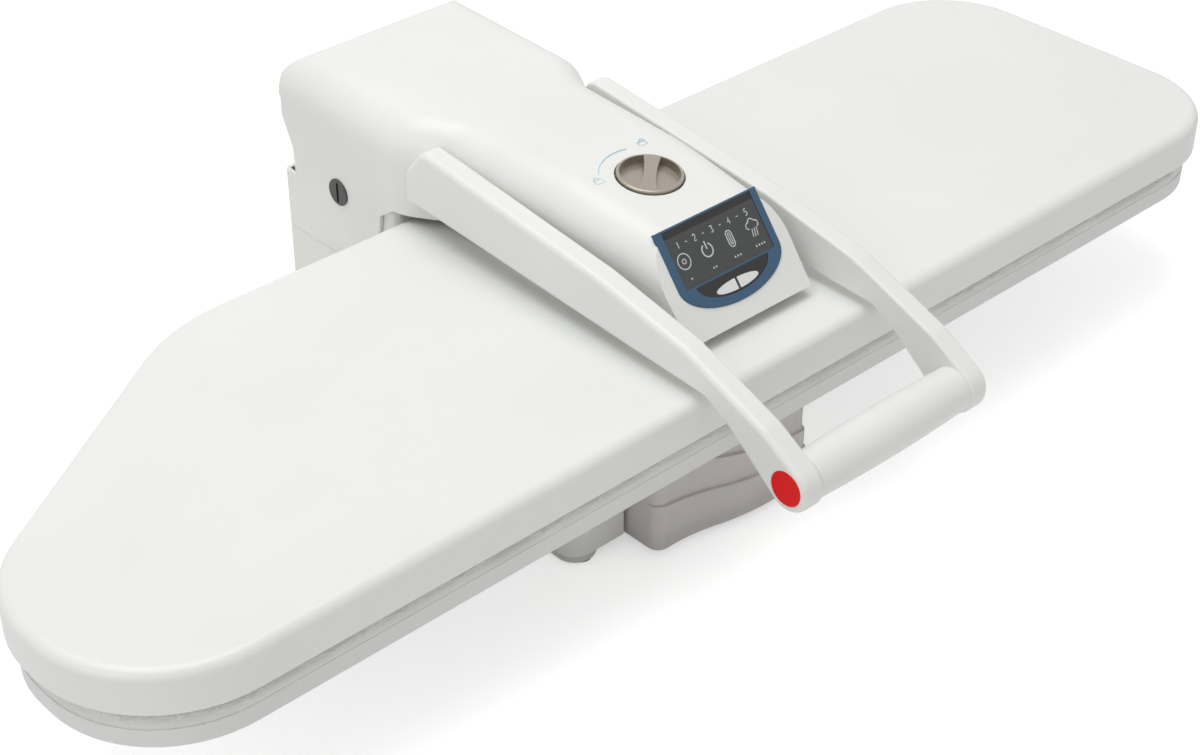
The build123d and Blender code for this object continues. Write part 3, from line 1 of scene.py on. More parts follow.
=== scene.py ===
"""Steam press for ironing, dressed as it leaves the factory and lit on a pale studio floor.

Metres, +Z up, in the same frame as the solids. The sections follow the press as it is
put together: feet and floor plate, casing and hinge, padded board, water tank, heated
plate, head with its lock and panel, and the handle. The studio comes last.
"""

import math

import bmesh
import bpy
from mathutils import Matrix, Vector, noise


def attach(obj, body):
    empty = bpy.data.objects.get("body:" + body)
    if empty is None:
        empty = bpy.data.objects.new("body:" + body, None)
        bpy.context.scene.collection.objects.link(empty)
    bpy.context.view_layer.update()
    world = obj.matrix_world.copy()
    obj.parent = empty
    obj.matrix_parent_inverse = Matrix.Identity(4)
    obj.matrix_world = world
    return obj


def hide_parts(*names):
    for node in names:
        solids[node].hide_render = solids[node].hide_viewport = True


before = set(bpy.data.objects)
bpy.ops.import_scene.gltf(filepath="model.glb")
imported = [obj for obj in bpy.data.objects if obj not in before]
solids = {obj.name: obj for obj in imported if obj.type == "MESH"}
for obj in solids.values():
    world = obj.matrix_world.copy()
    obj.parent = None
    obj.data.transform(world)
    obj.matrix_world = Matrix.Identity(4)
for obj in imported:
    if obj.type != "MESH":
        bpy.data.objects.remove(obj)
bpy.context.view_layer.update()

# Feet and floor plate: four moulded feet under a folded steel plate, each with a rubber
# pad pressed into it. Zinc-plated screws hold the feet to the plate.


def open_finish(name, colour, roughness, **sockets):
    """A material with its flat values set, and the tree and shader to build on."""
    material = bpy.data.materials.new(name)
    material.use_nodes = True
    tree = material.node_tree
    shader = tree.nodes["Principled BSDF"]
    shader.inputs["Base Color"].default_value = (*colour, 1)
    shader.inputs["Roughness"].default_value = roughness
    for socket, value in sockets.items():
        shader.inputs[socket.replace("_", " ")].default_value = value
    return material, tree, shader


def add_node(tree, kind, inputs=None, **settings):
    """A shader node with its settings and inputs; a socket as an input is linked."""
    node = tree.nodes.new(kind)
    for key, value in settings.items():
        setattr(node, key, value)
    for key, value in (inputs or {}).items():
        if isinstance(value, bpy.types.NodeSocket):
            tree.links.new(value, node.inputs[key])
        else:
            node.inputs[key].default_value = value
    return node


def place_on(tree):
    """Object coordinates, for a pattern that is fixed to the piece."""
    return add_node(tree, "ShaderNodeTexCoord").outputs["Object"]


def noise_on(tree, where, scale, detail=2.0):
    """Plain noise at a number of cells a metre."""
    inputs = {"Vector": where, "Scale": scale, "Detail": detail}
    return add_node(tree, "ShaderNodeTexNoise", inputs).outputs["Fac"]


def spread(tree, value, low, high, start=0.3, end=0.7):
    """A value between start and end carried to low and high."""
    inputs = {"Value": value, "From Min": start, "From Max": end, "To Min": low, "To Max": high}
    return add_node(tree, "ShaderNodeMapRange", inputs).outputs["Result"]


def mix_colours(tree, amount, one, two):
    """One colour where the amount is 0 and the other where it is 1."""
    node = add_node(tree, "ShaderNodeMix", data_type="RGBA")
    sockets = [s for s in node.inputs if s.enabled]
    for socket, value in zip(sockets, (amount, one, two)):
        if isinstance(value, bpy.types.NodeSocket):
            tree.links.new(value, socket)
        elif hasattr(value, "__len__"):
            socket.default_value = (*value[:3], 1)
        else:
            socket.default_value = value
    return [s for s in node.outputs if s.enabled][0]


def raise_grain(tree, shader, height, depth):
    """Bump of a depth in metres on the shader."""
    inputs = {"Height": height, "Distance": depth, "Strength": 1.0}
    bump = add_node(tree, "ShaderNodeBump", inputs)
    tree.links.new(bump.outputs["Normal"], shader.inputs["Normal"])


def moulded(name, colour, roughness, grain=2600, depth=0.00003, drift=0.035, **sockets):
    """Moulded plastic: a fine eroded grain, and a slight drift of tone and gloss."""
    material, tree, shader = open_finish(name, colour, roughness, **sockets)
    where = place_on(tree)
    tone = spread(tree, noise_on(tree, where, 9.0, 3.0), 0.0, 1.0)
    darker = [c * (1 - drift) for c in colour]
    lighter = [min(1.0, c * (1 + drift * 0.6)) for c in colour]
    tree.links.new(mix_colours(tree, tone, darker, lighter), shader.inputs["Base Color"])
    gloss = spread(tree, noise_on(tree, where, 34.0), roughness * 0.9, roughness * 1.12)
    tree.links.new(gloss, shader.inputs["Roughness"])
    raise_grain(tree, shader, noise_on(tree, where, grain, 1.0), depth)
    return material


def sheet_metal(name, colour, roughness, stretch=(1, 1, 1), scale=420, depth=0.00002):
    """Rolled or plated metal: fine streaks along the sheet, and a cloudy gloss."""
    material, tree, shader = open_finish(name, colour, roughness, Metallic=1.0)
    inputs = {"Vector": place_on(tree), "Scale": stretch}
    streaks = add_node(tree, "ShaderNodeMapping", inputs).outputs["Vector"]
    fine = noise_on(tree, streaks, scale, 3.0)
    cloud = noise_on(tree, place_on(tree), 22.0, 4.0)
    gloss = spread(tree, cloud, roughness * 0.8, roughness * 1.3)
    tree.links.new(gloss, shader.inputs["Roughness"])
    darker = [c * 0.88 for c in colour]
    tone = spread(tree, cloud, 0.0, 1.0)
    tree.links.new(mix_colours(tree, tone, darker, colour), shader.inputs["Base Color"])
    raise_grain(tree, shader, fine, depth)
    return material


def finish_solids(material, *names):
    """Gives solids of the frame their finish."""
    for name in names:
        solids[name].data.materials.clear()
        solids[name].data.materials.append(material)


foot_grey = moulded("Foot grey plastic", (0.66, 0.655, 0.62), 0.5, grain=1800)
finish_solids(foot_grey, "base_feet")

pad_rubber = moulded(
    "Foot rubber", (0.025, 0.025, 0.027), 0.78, grain=900, depth=0.00008, drift=0.2
)
finish_solids(pad_rubber, "rubber_feet")

zinc = sheet_metal("Zinc-plated steel", (0.62, 0.63, 0.64), 0.34, stretch=(1, 6, 6))
finish_solids(zinc, "base_plate", "base_screws")

# Works inside the base: a vibrating pump, silicone water lines, the mains board, and the
# gland that a mains lead would leave by.

pump_plastic = moulded("Pump plastic", (0.035, 0.035, 0.04), 0.42, grain=1500, drift=0.15)
finish_solids(pump_plastic, "pump", "tank_dock", "cord_gland", "micro_switch", "button_switch")

line_rubber = moulded("Silicone line", (0.72, 0.70, 0.66), 0.38, grain=700, depth=0.00005)
finish_solids(line_rubber, "base_hoses", "head_hose")


def circuit_board(name):
    """Green lacquered laminate with rows of pale pads and darker copper under it."""
    material, tree, shader = open_finish(name, (0.02, 0.12, 0.05), 0.35)
    where = place_on(tree)
    inputs = {"Vector": where, "Scale": 260.0}
    cells = add_node(tree, "ShaderNodeTexVoronoi", inputs).outputs["Distance"]
    pads = spread(tree, cells, 1.0, 0.0, 0.16, 0.22)
    tracks = spread(tree, noise_on(tree, where, 120.0, 0.0), 0.0, 1.0, 0.49, 0.51)
    green = mix_colours(tree, tracks, (0.015, 0.10, 0.04), (0.03, 0.17, 0.07))
    tree.links.new(mix_colours(tree, pads, green, (0.55, 0.54, 0.50)), shader.inputs["Base Color"])
    raise_grain(tree, shader, pads, 0.00008)
    return material


finish_solids(circuit_board("Circuit board"), "power_board", "panel_board")

# Casing and column: one off-white moulding set on the floor plate, with the bay for the
# tank open to the front, and a white cover over the hinge frame.

case_grey = moulded("Base casing plastic", (0.83, 0.83, 0.795), 0.46)
finish_solids(case_grey, "base_casing")

shell_white = moulded("White shell plastic", (0.84, 0.845, 0.815), 0.36, depth=0.00002)
finish_solids(shell_white, "column_cover", "head_shell", "left_arm", "right_arm", "handle_grip")

# Hinge: folded steel frame on the floor plate, bronze bushes, two wound springs that carry
# the head's weight, and the switch that the head works.

finish_solids(zinc, "column_frame", "swivel_union")
bronze = sheet_metal("Bush bronze", (0.60, 0.40, 0.20), 0.32, scale=600)
finish_solids(bronze, "hinge_bushes", "steam_chamber", "steam_pipe")
spring_wire = sheet_metal("Spring wire", (0.42, 0.43, 0.45), 0.28, scale=900)
finish_solids(spring_wire, "counter_springs", "press_springs")

# Board: a perforated steel pan on two folded rails, both painted near the cloth's grey, a
# thick felt pad on the pan, and a cover of coated cloth pulled tight round the edge. Pad
# and cover are one cushion here, because only their outside shows.

pan_paint = moulded("Painted pan steel", (0.76, 0.76, 0.75), 0.5, grain=700, depth=0.00004)
finish_solids(pan_paint, "board_frame", "board_pan")

PLATE_CORNERS = (
    (0.4545, -0.1555, 0.070),
    (0.4545, 0.1135, 0.070),
    (-0.2470, 0.1135, 0.120),
    (-0.4545, -0.0237, 0.079),
    (-0.4545, -0.1555, 0.079),
)


def rounded_outline(corners, inset, step):
    """Places round a convex outline, drawn in by an inset, and the way out at each."""
    around = []
    count = len(corners)
    for i, (x, y, radius) in enumerate(corners):
        here = Vector((x, y))
        before = (Vector(corners[i - 1][:2]) - here).normalized()
        after = (Vector(corners[(i + 1) % count][:2]) - here).normalized()
        half = before.angle(after) / 2
        centre = here + (before + after).normalized() * radius / math.sin(half)
        out_before = Vector((before.y, -before.x))
        out_after = Vector((-after.y, after.x))
        if out_before.dot(here - centre) < 0:
            out_before, out_after = -out_before, -out_after
        turn = out_before.angle(out_after)
        parts = max(2, round(turn * radius / step))
        for k in range(parts + 1):
            way = out_before.slerp(out_after, k / parts).normalized()
            around.append((centre + way * radius, way))
    filled = []
    for i, (spot, way) in enumerate(around):
        nxt, nxt_way = around[(i + 1) % len(around)]
        filled.append((spot, way))
        gap = (nxt - spot).length
        parts = int(gap / step)
        for k in range(1, parts):
            share = k / parts
            filled.append((spot.lerp(nxt, share), way.slerp(nxt_way, share)))
    return [(spot - way * inset, way) for spot, way in filled]


def ringed_mesh(name, rings):
    """A closed mesh through rings of the same count, flat at both ends."""
    bm = bmesh.new()
    loops = [[bm.verts.new(p) for p in ring] for ring in rings]
    for low, high in zip(loops, loops[1:]):
        for i in range(len(low)):
            j = (i + 1) % len(low)
            bm.faces.new((low[i], low[j], high[j], high[i]))
    bm.faces.new(loops[0][::-1])
    bm.faces.new(loops[-1])
    bmesh.ops.triangulate(bm, faces=[f for f in bm.faces if len(f.verts) > 4])
    bmesh.ops.recalc_face_normals(bm, faces=bm.faces)
    mesh = bpy.data.meshes.new(name)
    bm.to_mesh(mesh)
    bm.free()
    piece = bpy.data.objects.new(name, mesh)
    bpy.context.scene.collection.objects.link(piece)
    return piece


def apply_all(piece):
    """Turns the piece into the plain mesh that its modifiers make."""
    bpy.context.view_layer.update()
    shape = bpy.data.meshes.new_from_object(
        piece.evaluated_get(bpy.context.evaluated_depsgraph_get())
    )
    piece.modifiers.clear()
    piece.data = shape


board_underside = 0.0830
board_face = 0.1077
turned_in = 0.004
band_top = 0.0935
edge_rise = 0.006
pad_edge = (
    (0.0150, 0.0000),
    (0.0080, 0.0001),
    (0.0058, 0.0012),
    (0.0050, 0.0035),
    (0.0047, 0.0090),
    (0.0047, 0.0150),
    (0.0054, 0.0180),
    (0.0078, 0.0208),
    (0.0120, 0.0228),
    (0.0200, 0.0238),
    (0.0400, 0.0243),
)
board_cushion = ringed_mesh(
    "board_cushion",
    [
        [
            (spot.x, spot.y, board_underside + height)
            for spot, way in rounded_outline(PLATE_CORNERS, inset, 0.008)
        ]
        for inset, height in pad_edge
    ],
)
remesh = board_cushion.modifiers.new("Even cloth", "REMESH")
remesh.mode = "VOXEL"
remesh.voxel_size = 0.005
remesh.use_smooth_shade = True
apply_all(board_cushion)
rest_points = [v.co.copy() for v in board_cushion.data.vertices]

pinned = board_cushion.vertex_groups.new(name="Turned in")
low = [i for i, p in enumerate(rest_points) if p.z < board_underside + turned_in]
pinned.add(low, 1.0, "REPLACE")
cloth = board_cushion.modifiers.new("Stuffing", "CLOTH")
cloth.settings.quality = 4
cloth.settings.mass = 0.25
cloth.settings.tension_stiffness = 12
cloth.settings.compression_stiffness = 12
cloth.settings.bending_stiffness = 0.4
cloth.settings.use_pressure = True
cloth.settings.uniform_pressure_force = 4.0
cloth.settings.vertex_group_mass = "Turned in"
cloth.settings.effector_weights.gravity = 0.0
for step in range(1, 21):
    bpy.context.scene.frame_set(step)
apply_all(board_cushion)
bpy.context.scene.frame_set(1)

CUSHION_GIVE = 0.0006
CRINKLE_DEPTH = 0.0007
SLACK_DEPTH = 0.0006
CLOTH_SINK = 0.0005
for vertex, start in zip(board_cushion.data.vertices, rest_points):
    move = vertex.co - start
    if move.length > CUSHION_GIVE:
        move = move.normalized() * CUSHION_GIVE
    spot = start + move
    edge = min(1.0, max(0.0, (spot.z - band_top) / edge_rise))
    crinkle = noise.fractal(spot * 190, 0.9, 2.1, 3) * CRINKLE_DEPTH * edge
    slack = noise.noise(spot * 38) * SLACK_DEPTH * edge
    spot += Vector((0, 0, crinkle + slack - CLOTH_SINK * edge))
    spot.z = min(max(spot.z, board_underside), board_face - 0.0001)
    vertex.co = spot
finer = board_cushion.modifiers.new("Smooth cloth", "SUBSURF")
finer.levels = finer.render_levels = 1
apply_all(board_cushion)
for face in board_cushion.data.polygons:
    face.use_smooth = True


def cover_cloth():
    """Silvery coated cloth on the edge, with a painted sheen on its weave, fluffy white felt where
    the pad shows on top.
    """
    material, tree, shader = open_finish(
        "Board cloth and felt", (0.6, 0.6, 0.6), 0.8, Sheen_Weight=0.25, Sheen_Roughness=0.5
    )
    where = place_on(tree)
    apart = add_node(tree, "ShaderNodeSeparateXYZ", {"Vector": where}).outputs
    ragged = spread(tree, noise_on(tree, where, 55.0, 4.0), -0.0022, 0.0022)
    level = add_node(tree, "ShaderNodeMath", {0: apart["Z"], 1: ragged}, operation="ADD")
    felt = spread(tree, level.outputs[0], 0.0, 1.0, 0.1000, 0.1014)
    threads = []
    for axis in ("X", "Y", "Z"):
        run = add_node(tree, "ShaderNodeMath", {0: apart[axis], 1: 7400.0}, operation="MULTIPLY")
        wave = add_node(tree, "ShaderNodeMath", {0: run.outputs[0]}, operation="SINE")
        threads.append(wave.outputs[0])
    pair = add_node(tree, "ShaderNodeMath", {0: threads[0], 1: threads[1]}, operation="ADD")
    weave = add_node(tree, "ShaderNodeMath", {0: pair.outputs[0], 1: threads[2]}, operation="ADD")
    weave_sheen = spread(tree, weave.outputs[0], 0.0, 1.0, -3.0, 3.0)
    fluff = add_node(
        tree,
        "ShaderNodeTexNoise",
        {"Vector": where, "Scale": 420.0, "Detail": 6.0, "Roughness": 0.7, "Distortion": 1.2},
    ).outputs["Fac"]
    cloud = spread(tree, noise_on(tree, where, 24.0, 3.0), 0.0, 1.0)
    silver = mix_colours(tree, cloud, (0.70, 0.70, 0.69), (0.80, 0.80, 0.79))
    # Raised threads of the weave are painted lighter, toward a lit copy of the silver: a painted
    # sheen, kept at 0.35 strength in half.
    lit = mix_colours(tree, weave_sheen, silver, (0.84, 0.84, 0.83))
    half = mix_colours(tree, 0.35, silver, lit)
    tuft = spread(tree, fluff, 0.0, 1.0, 0.35, 0.65)
    white = mix_colours(tree, tuft, (0.80, 0.80, 0.79), (0.96, 0.96, 0.95))
    tree.links.new(mix_colours(tree, felt, half, white), shader.inputs["Base Color"])
    rough = spread(tree, felt, 0.55, 0.95, 0.0, 1.0)
    tree.links.new(rough, shader.inputs["Roughness"])
    fine = spread(tree, weave.outputs[0], 0.0, 0.12, -3.0, 3.0)
    coarse = add_node(tree, "ShaderNodeMath", {0: fluff, 1: felt}, operation="MULTIPLY")
    height = add_node(tree, "ShaderNodeMath", {0: coarse.outputs[0], 1: fine}, operation="ADD")
    raise_grain(tree, shader, height.outputs[0], 0.0011)
    return material


board_cushion.data.materials.clear()
board_cushion.data.materials.append(cover_cloth())
finish_solids(board_cushion.data.materials[0], "board_pad", "board_cover")
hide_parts("board_pad", "board_cover")
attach(board_cushion, "base")

# Water tank: blown in clear, faintly smoked plastic, with two stepped ledges across its
# wavy front. It slides out to be filled through a grey screw cap.


def smoked_plastic():
    """Clear plastic with a faint warm smoke and the slight ripple of a blown wall."""
    material, tree, shader = open_finish(
        "Smoked tank plastic", (0.94, 0.89, 0.87), 0.06, Transmission_Weight=0.4, IOR=1.49
    )
    where = place_on(tree)
    gloss = spread(tree, noise_on(tree, where, 30.0), 0.05, 0.12)
    tree.links.new(gloss, shader.inputs["Roughness"])
    raise_grain(tree, shader, noise_on(tree, where, 42.0, 2.0), 0.0006)
    return material


finish_solids(smoked_plastic(), "water_tank")
tank_grey = moulded("Tank fitting plastic", (0.30, 0.30, 0.31), 0.4)
finish_solids(tank_grey, "tank_cap", "tank_valve")

# Heated plate: an aluminium shoe drilled for steam, with its element clamped on top under
# a mineral blanket, below a powder-coated cover that is held by pillars.

shoe_metal = sheet_metal("Shoe aluminium", (0.78, 0.78, 0.77), 0.3, stretch=(1, 14, 1), scale=240)
finish_solids(shoe_metal, "heating_plate", "cover_pillars")
element_steel = sheet_metal("Element sheath", (0.24, 0.22, 0.21), 0.45, scale=500)
finish_solids(element_steel, "heating_element", "thermostat", "thermal_fuse")


def mineral_wool():
    """Yellowish matted fibres."""
    material, tree, shader = open_finish("Mineral wool", (0.72, 0.66, 0.42), 0.95)
    fibres = noise_on(tree, place_on(tree), 520.0, 8.0)
    tone = mix_colours(tree, spread(tree, fibres, 0, 1), (0.55, 0.48, 0.26), (0.84, 0.79, 0.58))
    tree.links.new(tone, shader.inputs["Base Color"])
    raise_grain(tree, shader, fibres, 0.0012)
    return material


finish_solids(mineral_wool(), "heat_blanket")
finish_solids(zinc, "press_posts")
cover_white = moulded(
    "Powder-coated cover", (0.835, 0.845, 0.815), 0.33, grain=520, depth=0.00003, drift=0.02
)
finish_solids(cover_white, "platen_cover")

# Head: a steel frame on two hinge shafts carries the plate on four sprung posts. A white
# shell drops over it, with an under-cover below and slotted caps on the shaft ends.

finish_solids(zinc, "head_frame", "spring_plate", "head_screws")
ground_steel = sheet_metal("Ground steel", (0.55, 0.55, 0.56), 0.22, stretch=(10, 1, 1), scale=700)
finish_solids(ground_steel, "hinge_shafts", "grip_core")
finish_solids(shell_white, "head_under_cover")
cap_steel = sheet_metal("Slotted cap", (0.11, 0.11, 0.11), 0.36, scale=800)
finish_solids(cap_steel, "pivot_caps")

# Lock: a bronze-toned knob let into the deck, with a finger bar between two scoops. Its
# crank draws the steel bar below into the column. Two printed marks show its ends.

finish_solids(zinc, "lock_bar")
knob_finish, knob_tree, knob_shader = open_finish(
    "Bronze-toned knob", (0.36, 0.32, 0.27), 0.3, Metallic=0.7, Coat_Weight=0.4
)
knob_place = place_on(knob_tree)
knob_streaks = add_node(
    knob_tree, "ShaderNodeMapping", {"Vector": knob_place, "Scale": (1, 9, 9)}
).outputs["Vector"]
knob_gloss = spread(knob_tree, noise_on(knob_tree, knob_streaks, 300.0, 3.0), 0.24, 0.36)
knob_tree.links.new(knob_gloss, knob_shader.inputs["Roughness"])
raise_grain(knob_tree, knob_shader, noise_on(knob_tree, knob_streaks, 900.0, 1.0), 0.00002)
finish_solids(knob_finish, "lock_knob")


def printed(name, colour, roughness=0.5):
    """Screen-printed ink: a little patchy, and matt."""
    material, tree, shader = open_finish(name, colour, roughness)
    patchy = spread(tree, noise_on(tree, place_on(tree), 900.0, 3.0), 0.0, 1.0)
    darker = [c * 0.82 for c in colour]
    tree.links.new(mix_colours(tree, patchy, darker, colour), shader.inputs["Base Color"])
    return material


def slope_frame(origin, tilt):
    """Carries points given across, up the slope and off it to a sloping face."""
    return Matrix.Translation(origin) @ Matrix.Rotation(math.radians(tilt), 4, "X")


def flat_print(name, strokes, face, rise, material, body):
    """Thin ink on a face, from strokes given as (places, width, closed)."""
    bm = bmesh.new()
    for places, width, closed in strokes:
        count = len(places)
        lefts, rights = [], []
        for i, (x, y) in enumerate(places):
            back = places[(i - 1) % count] if closed or i else places[i]
            ahead = places[(i + 1) % count] if closed or i < count - 1 else places[i]
            run = Vector((ahead[0] - back[0], ahead[1] - back[1])).normalized()
            side = Vector((-run.y, run.x)) * width / 2
            lefts.append((x + side.x, y + side.y))
            rights.append((x - side.x, y - side.y))
        grid = [
            [bm.verts.new(face @ Vector((x, y, z))) for x, y in row]
            for row, z in ((lefts, rise), (rights, rise), (rights, 0), (lefts, 0))
        ]
        for i in range(count if closed else count - 1):
            j = (i + 1) % count
            for one, two in ((0, 1), (1, 2), (2, 3), (3, 0)):
                bm.faces.new((grid[one][i], grid[one][j], grid[two][j], grid[two][i]))
        if not closed:
            bm.faces.new([row[0] for row in grid])
            bm.faces.new([row[-1] for row in grid][::-1])
    bmesh.ops.recalc_face_normals(bm, faces=bm.faces)
    mesh = bpy.data.meshes.new(name)
    bm.to_mesh(mesh)
    bm.free()
    piece = bpy.data.objects.new(name, mesh)
    bpy.context.scene.collection.objects.link(piece)
    piece.data.materials.append(material)
    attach(piece, body)


def arc(x, y, radius, start, end, parts=24, tall=1.0):
    """Places along an arc, in degrees."""
    places = []
    for k in range(parts + 1):
        angle = math.radians(start + (end - start) * k / parts)
        places.append((x + radius * math.cos(angle), y + tall * radius * math.sin(angle)))
    return places


def ring(x, y, radius, width, parts=28):
    """A closed ring as one stroke."""
    return (arc(x, y, radius, 0, 360 - 360 / parts, parts - 1), width, True)


head_x = 0.0045
ink_rise = 0.00006
deck_face = slope_frame(Vector((head_x, -0.034, 0.201)), 5.5)
mark_blue = printed("Pale blue ink", (0.30, 0.60, 0.78))
lock_marks = []
for x, swing in ((-0.0290, 0.0), (0.0205, 0.0016)):
    y = 0.0150 if x < 0 else 0.0300
    lock_marks.append(
        ([(x - 0.0028, y), (x + 0.0028, y), (x + 0.0028, y - 0.004), (x - 0.0028, y - 0.004)],
         0.0005, True)
    )
    lock_marks.append((arc(x + swing, y, 0.0018, 0, 180, 10, 1.25), 0.0005, False))
lock_marks.append((arc(0, 0, 0.0305, 74, 142, 30), 0.0005, False))
flat_print("lock_marks", lock_marks, deck_face, ink_rise, mark_blue, "head")

# Panel: a blue bezel with a smoked window over the lamps, a black strip above it and a
# black band below with two white keys. The marks on the window are printed in pale grey.

bezel_blue = moulded("Bezel blue", (0.030, 0.095, 0.175), 0.38, drift=0.08)
finish_solids(bezel_blue, "panel_bezel")
panel_black = moulded("Panel black", (0.008, 0.008, 0.009), 0.3, grain=1800, drift=0.2)
finish_solids(panel_black, "panel_insert")
window_smoke = moulded("Window smoke", (0.045, 0.047, 0.048), 0.24, grain=300, depth=0.00001)
finish_solids(window_smoke, "display_window")
key_white = moulded("Key white", (0.82, 0.82, 0.80), 0.32)
finish_solids(key_white, "set_button_left", "set_button_right")

panel_face = slope_frame(Vector((head_x, -0.0795, 0.1964)), 51.5)
DIGIT_STROKES = {
    1: [[(-0.3, 0.6), (0.1, 1.0), (0.1, -1.0)]],
    2: [[(-0.5, 0.5), (-0.35, 0.9), (0.0, 1.0), (0.4, 0.85), (0.5, 0.45), (0.3, 0.0),
         (-0.5, -1.0), (0.55, -1.0)]],
    3: [[(-0.5, 0.8), (0.0, 1.0), (0.45, 0.8), (0.45, 0.3), (0.0, 0.05), (0.5, -0.25),
         (0.5, -0.75), (0.0, -1.0), (-0.5, -0.8)]],
    4: [[(0.3, -1.0), (0.3, 1.0), (-0.55, -0.35), (0.6, -0.35)]],
    5: [[(0.5, 1.0), (-0.4, 1.0), (-0.45, 0.1), (0.1, 0.25), (0.5, -0.1), (0.5, -0.65),
         (0.05, -1.0), (-0.5, -0.85)]],
}
panel_marks = []
digit_y = -0.0115
for number, x in zip(range(1, 6), (-0.0285, -0.0150, -0.0010, 0.0130, 0.0275)):
    for stroke in DIGIT_STROKES[number]:
        places = [(x + 0.0017 * u, digit_y + 0.0020 * v) for u, v in stroke]
        panel_marks.append((places, 0.0006, False))
for x in (-0.0218, -0.0080, 0.0060, 0.0202):
    panel_marks.append(([(x - 0.0008, digit_y), (x + 0.0008, digit_y)], 0.0005, False))
icon_y = -0.0215
ring_x, power_x, capsule_x, cloud_x = -0.0290, -0.0100, 0.0090, 0.0280
panel_marks.append(ring(ring_x, icon_y, 0.0047, 0.0007))
panel_marks.append(ring(ring_x, icon_y, 0.0014, 0.0006, 16))
panel_marks.append((arc(power_x, icon_y, 0.0040, 118, 422, 30), 0.0009, False))
panel_marks.append(([(power_x, icon_y + 0.0006), (power_x, icon_y + 0.0056)], 0.0009, False))
for half, width in ((0.0022, 0.0007), (0.0007, 0.0006)):
    rise = 0.0028
    top = arc(capsule_x, icon_y + rise, half, 0, 180, 12)
    panel_marks.append((top + arc(capsule_x, icon_y - rise, half, 180, 360, 12), width, True))
cloud = (
    arc(0.0252, icon_y + 0.0016, 0.0020, 260, 100, 10)
    + arc(cloud_x, icon_y + 0.0036, 0.0020, 165, 15, 10)
    + arc(0.0308, icon_y + 0.0016, 0.0020, 80, -80, 10)
)
panel_marks.append((cloud, 0.0007, False))
for x in (0.0262, cloud_x, 0.0298):
    places = [(x - 0.0006, icon_y - 0.0054), (x + 0.0006, icon_y - 0.0006)]
    panel_marks.append((places, 0.0006, False))
dot_y = -0.0325
for x, parts in ((ring_x, 1), (power_x, 2), (capsule_x, 3), (cloud_x, 4)):
    for k in range(parts):
        dot = x + 0.0022 * (k - (parts - 1) / 2)
        panel_marks.append(([(dot - 0.0005, dot_y), (dot + 0.0005, dot_y)], 0.0011, False))
window_face = panel_face @ Matrix.Translation((0, 0, 0.0004))
mark_grey = printed("Pale grey ink", (0.66, 0.68, 0.68))
flat_print("panel_marks", panel_marks, window_face, ink_rise, mark_grey, "head")

# Handle: the grip turns over a steel core between the arms. The red button at its left
# end gives a burst of steam.

button_red = moulded(
    "Button red", (0.84, 0.006, 0.006), 0.32, grain=1500, drift=0.1, Specular_IOR_Level=0.25
)
finish_solids(button_red, "steam_button")

# Studio: a pale floor under a white sky, a large soft lamp overhead and a weak one from the
# left, and the camera at the photograph's angle. The floor and the sky are brighter to the
# camera than to the press, which leaves a white ground with a faint shadow.

floor_mesh = bpy.data.meshes.new("studio_floor")
floor_bm = bmesh.new()
bmesh.ops.create_grid(floor_bm, x_segments=8, y_segments=8, size=9.0)
floor_bm.to_mesh(floor_mesh)
floor_bm.free()
floor = bpy.data.objects.new("studio_floor", floor_mesh)
bpy.context.scene.collection.objects.link(floor)
floor_white, floor_tree, floor_shader = open_finish("Studio floor", (0.93, 0.93, 0.93), 0.9)
floor_tint = spread(floor_tree, noise_on(floor_tree, place_on(floor_tree), 3.0), 0.0, 1.0)
floor_tree.links.new(
    mix_colours(floor_tree, floor_tint, (0.925, 0.925, 0.925), (0.94, 0.94, 0.94)),
    floor_shader.inputs["Base Color"],
)
floor_seen = add_node(floor_tree, "ShaderNodeLightPath").outputs["Is Camera Ray"]
floor_glow = spread(floor_tree, floor_seen, 0.0, 0.48, 0.0, 1.0)
floor_tree.links.new(floor_glow, floor_shader.inputs["Emission Strength"])
floor_shader.inputs["Emission Color"].default_value = (1, 1, 1, 1)
floor.data.materials.append(floor_white)

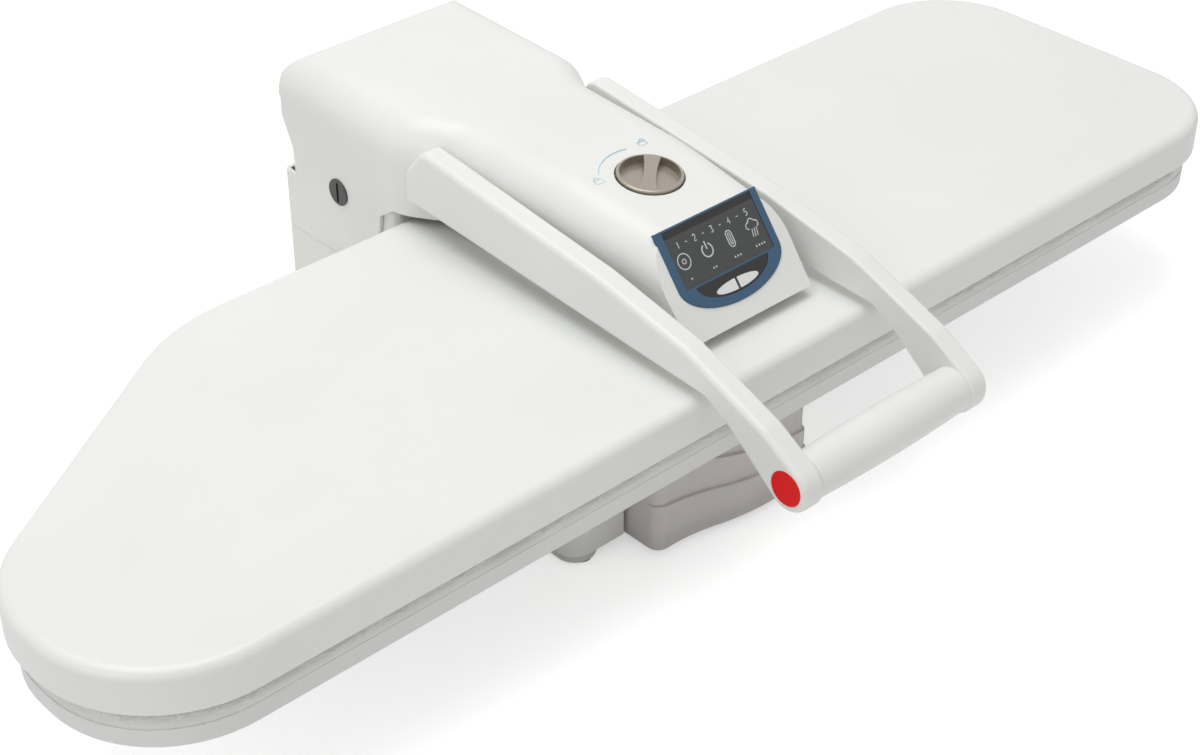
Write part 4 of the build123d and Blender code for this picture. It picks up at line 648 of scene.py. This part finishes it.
world = bpy.data.worlds.new("Studio sky")
bpy.context.scene.world = world
world.use_nodes = True
sky = world.node_tree
background = sky.nodes["Background"]
ray = add_node(sky, "ShaderNodeLightPath").outputs
direct = {0: ray["Is Camera Ray"], 1: ray["Is Glossy Ray"]}
direct = add_node(sky, "ShaderNodeMath", direct, operation="MAXIMUM").outputs[0]
direct = {0: direct, 1: ray["Is Transmission Ray"]}
seen = add_node(sky, "ShaderNodeMath", direct, operation="MAXIMUM")
background.inputs["Color"].default_value = (1, 1, 1, 1)
strength = spread(sky, seen.outputs[0], 0.50, 1.0, 0.0, 1.0)
sky.links.new(strength, background.inputs["Strength"])


def soft_lamp(name, place, aim, size, power):
    """A square soft box that looks at a point."""
    lamp = bpy.data.lights.new(name, "AREA")
    lamp.shape = "SQUARE"
    lamp.size = size
    lamp.energy = power
    holder = bpy.data.objects.new(name, lamp)
    bpy.context.scene.collection.objects.link(holder)
    holder.location = place
    holder.rotation_euler = (Vector(aim) - Vector(place)).to_track_quat("-Z", "Y").to_euler()


soft_lamp("Overhead lamp", (-0.2, 0.3, 2.4), (0, 0, 0.1), 1.8, 30)
soft_lamp("Side lamp", (-2.2, -0.4, 1.5), (0, 0, 0.1), 1.2, 5)

lens = bpy.data.cameras.new("Camera")
lens.sensor_width = 36.0
lens.lens = 68.2
camera = bpy.data.objects.new("Camera", lens)
bpy.context.scene.collection.objects.link(camera)
yaw, pitch, roll = (math.radians(a) for a in (43.06, 34.74, 0.28))
ahead = Vector(
    (math.sin(yaw) * math.cos(pitch), math.cos(yaw) * math.cos(pitch), -math.sin(pitch))
)
across = Vector((math.cos(yaw), -math.sin(yaw), 0))
upward = across.cross(ahead)
right = across * math.cos(roll) + upward * math.sin(roll)
upright = upward * math.cos(roll) - across * math.sin(roll)
turn = Matrix((right, upright, -ahead)).transposed().to_4x4()
camera.matrix_world = Matrix.Translation((-0.8218, -0.8757, 0.8721)) @ turn
bpy.context.scene.camera = camera
bpy.context.scene.view_settings.view_transform = "Standard"
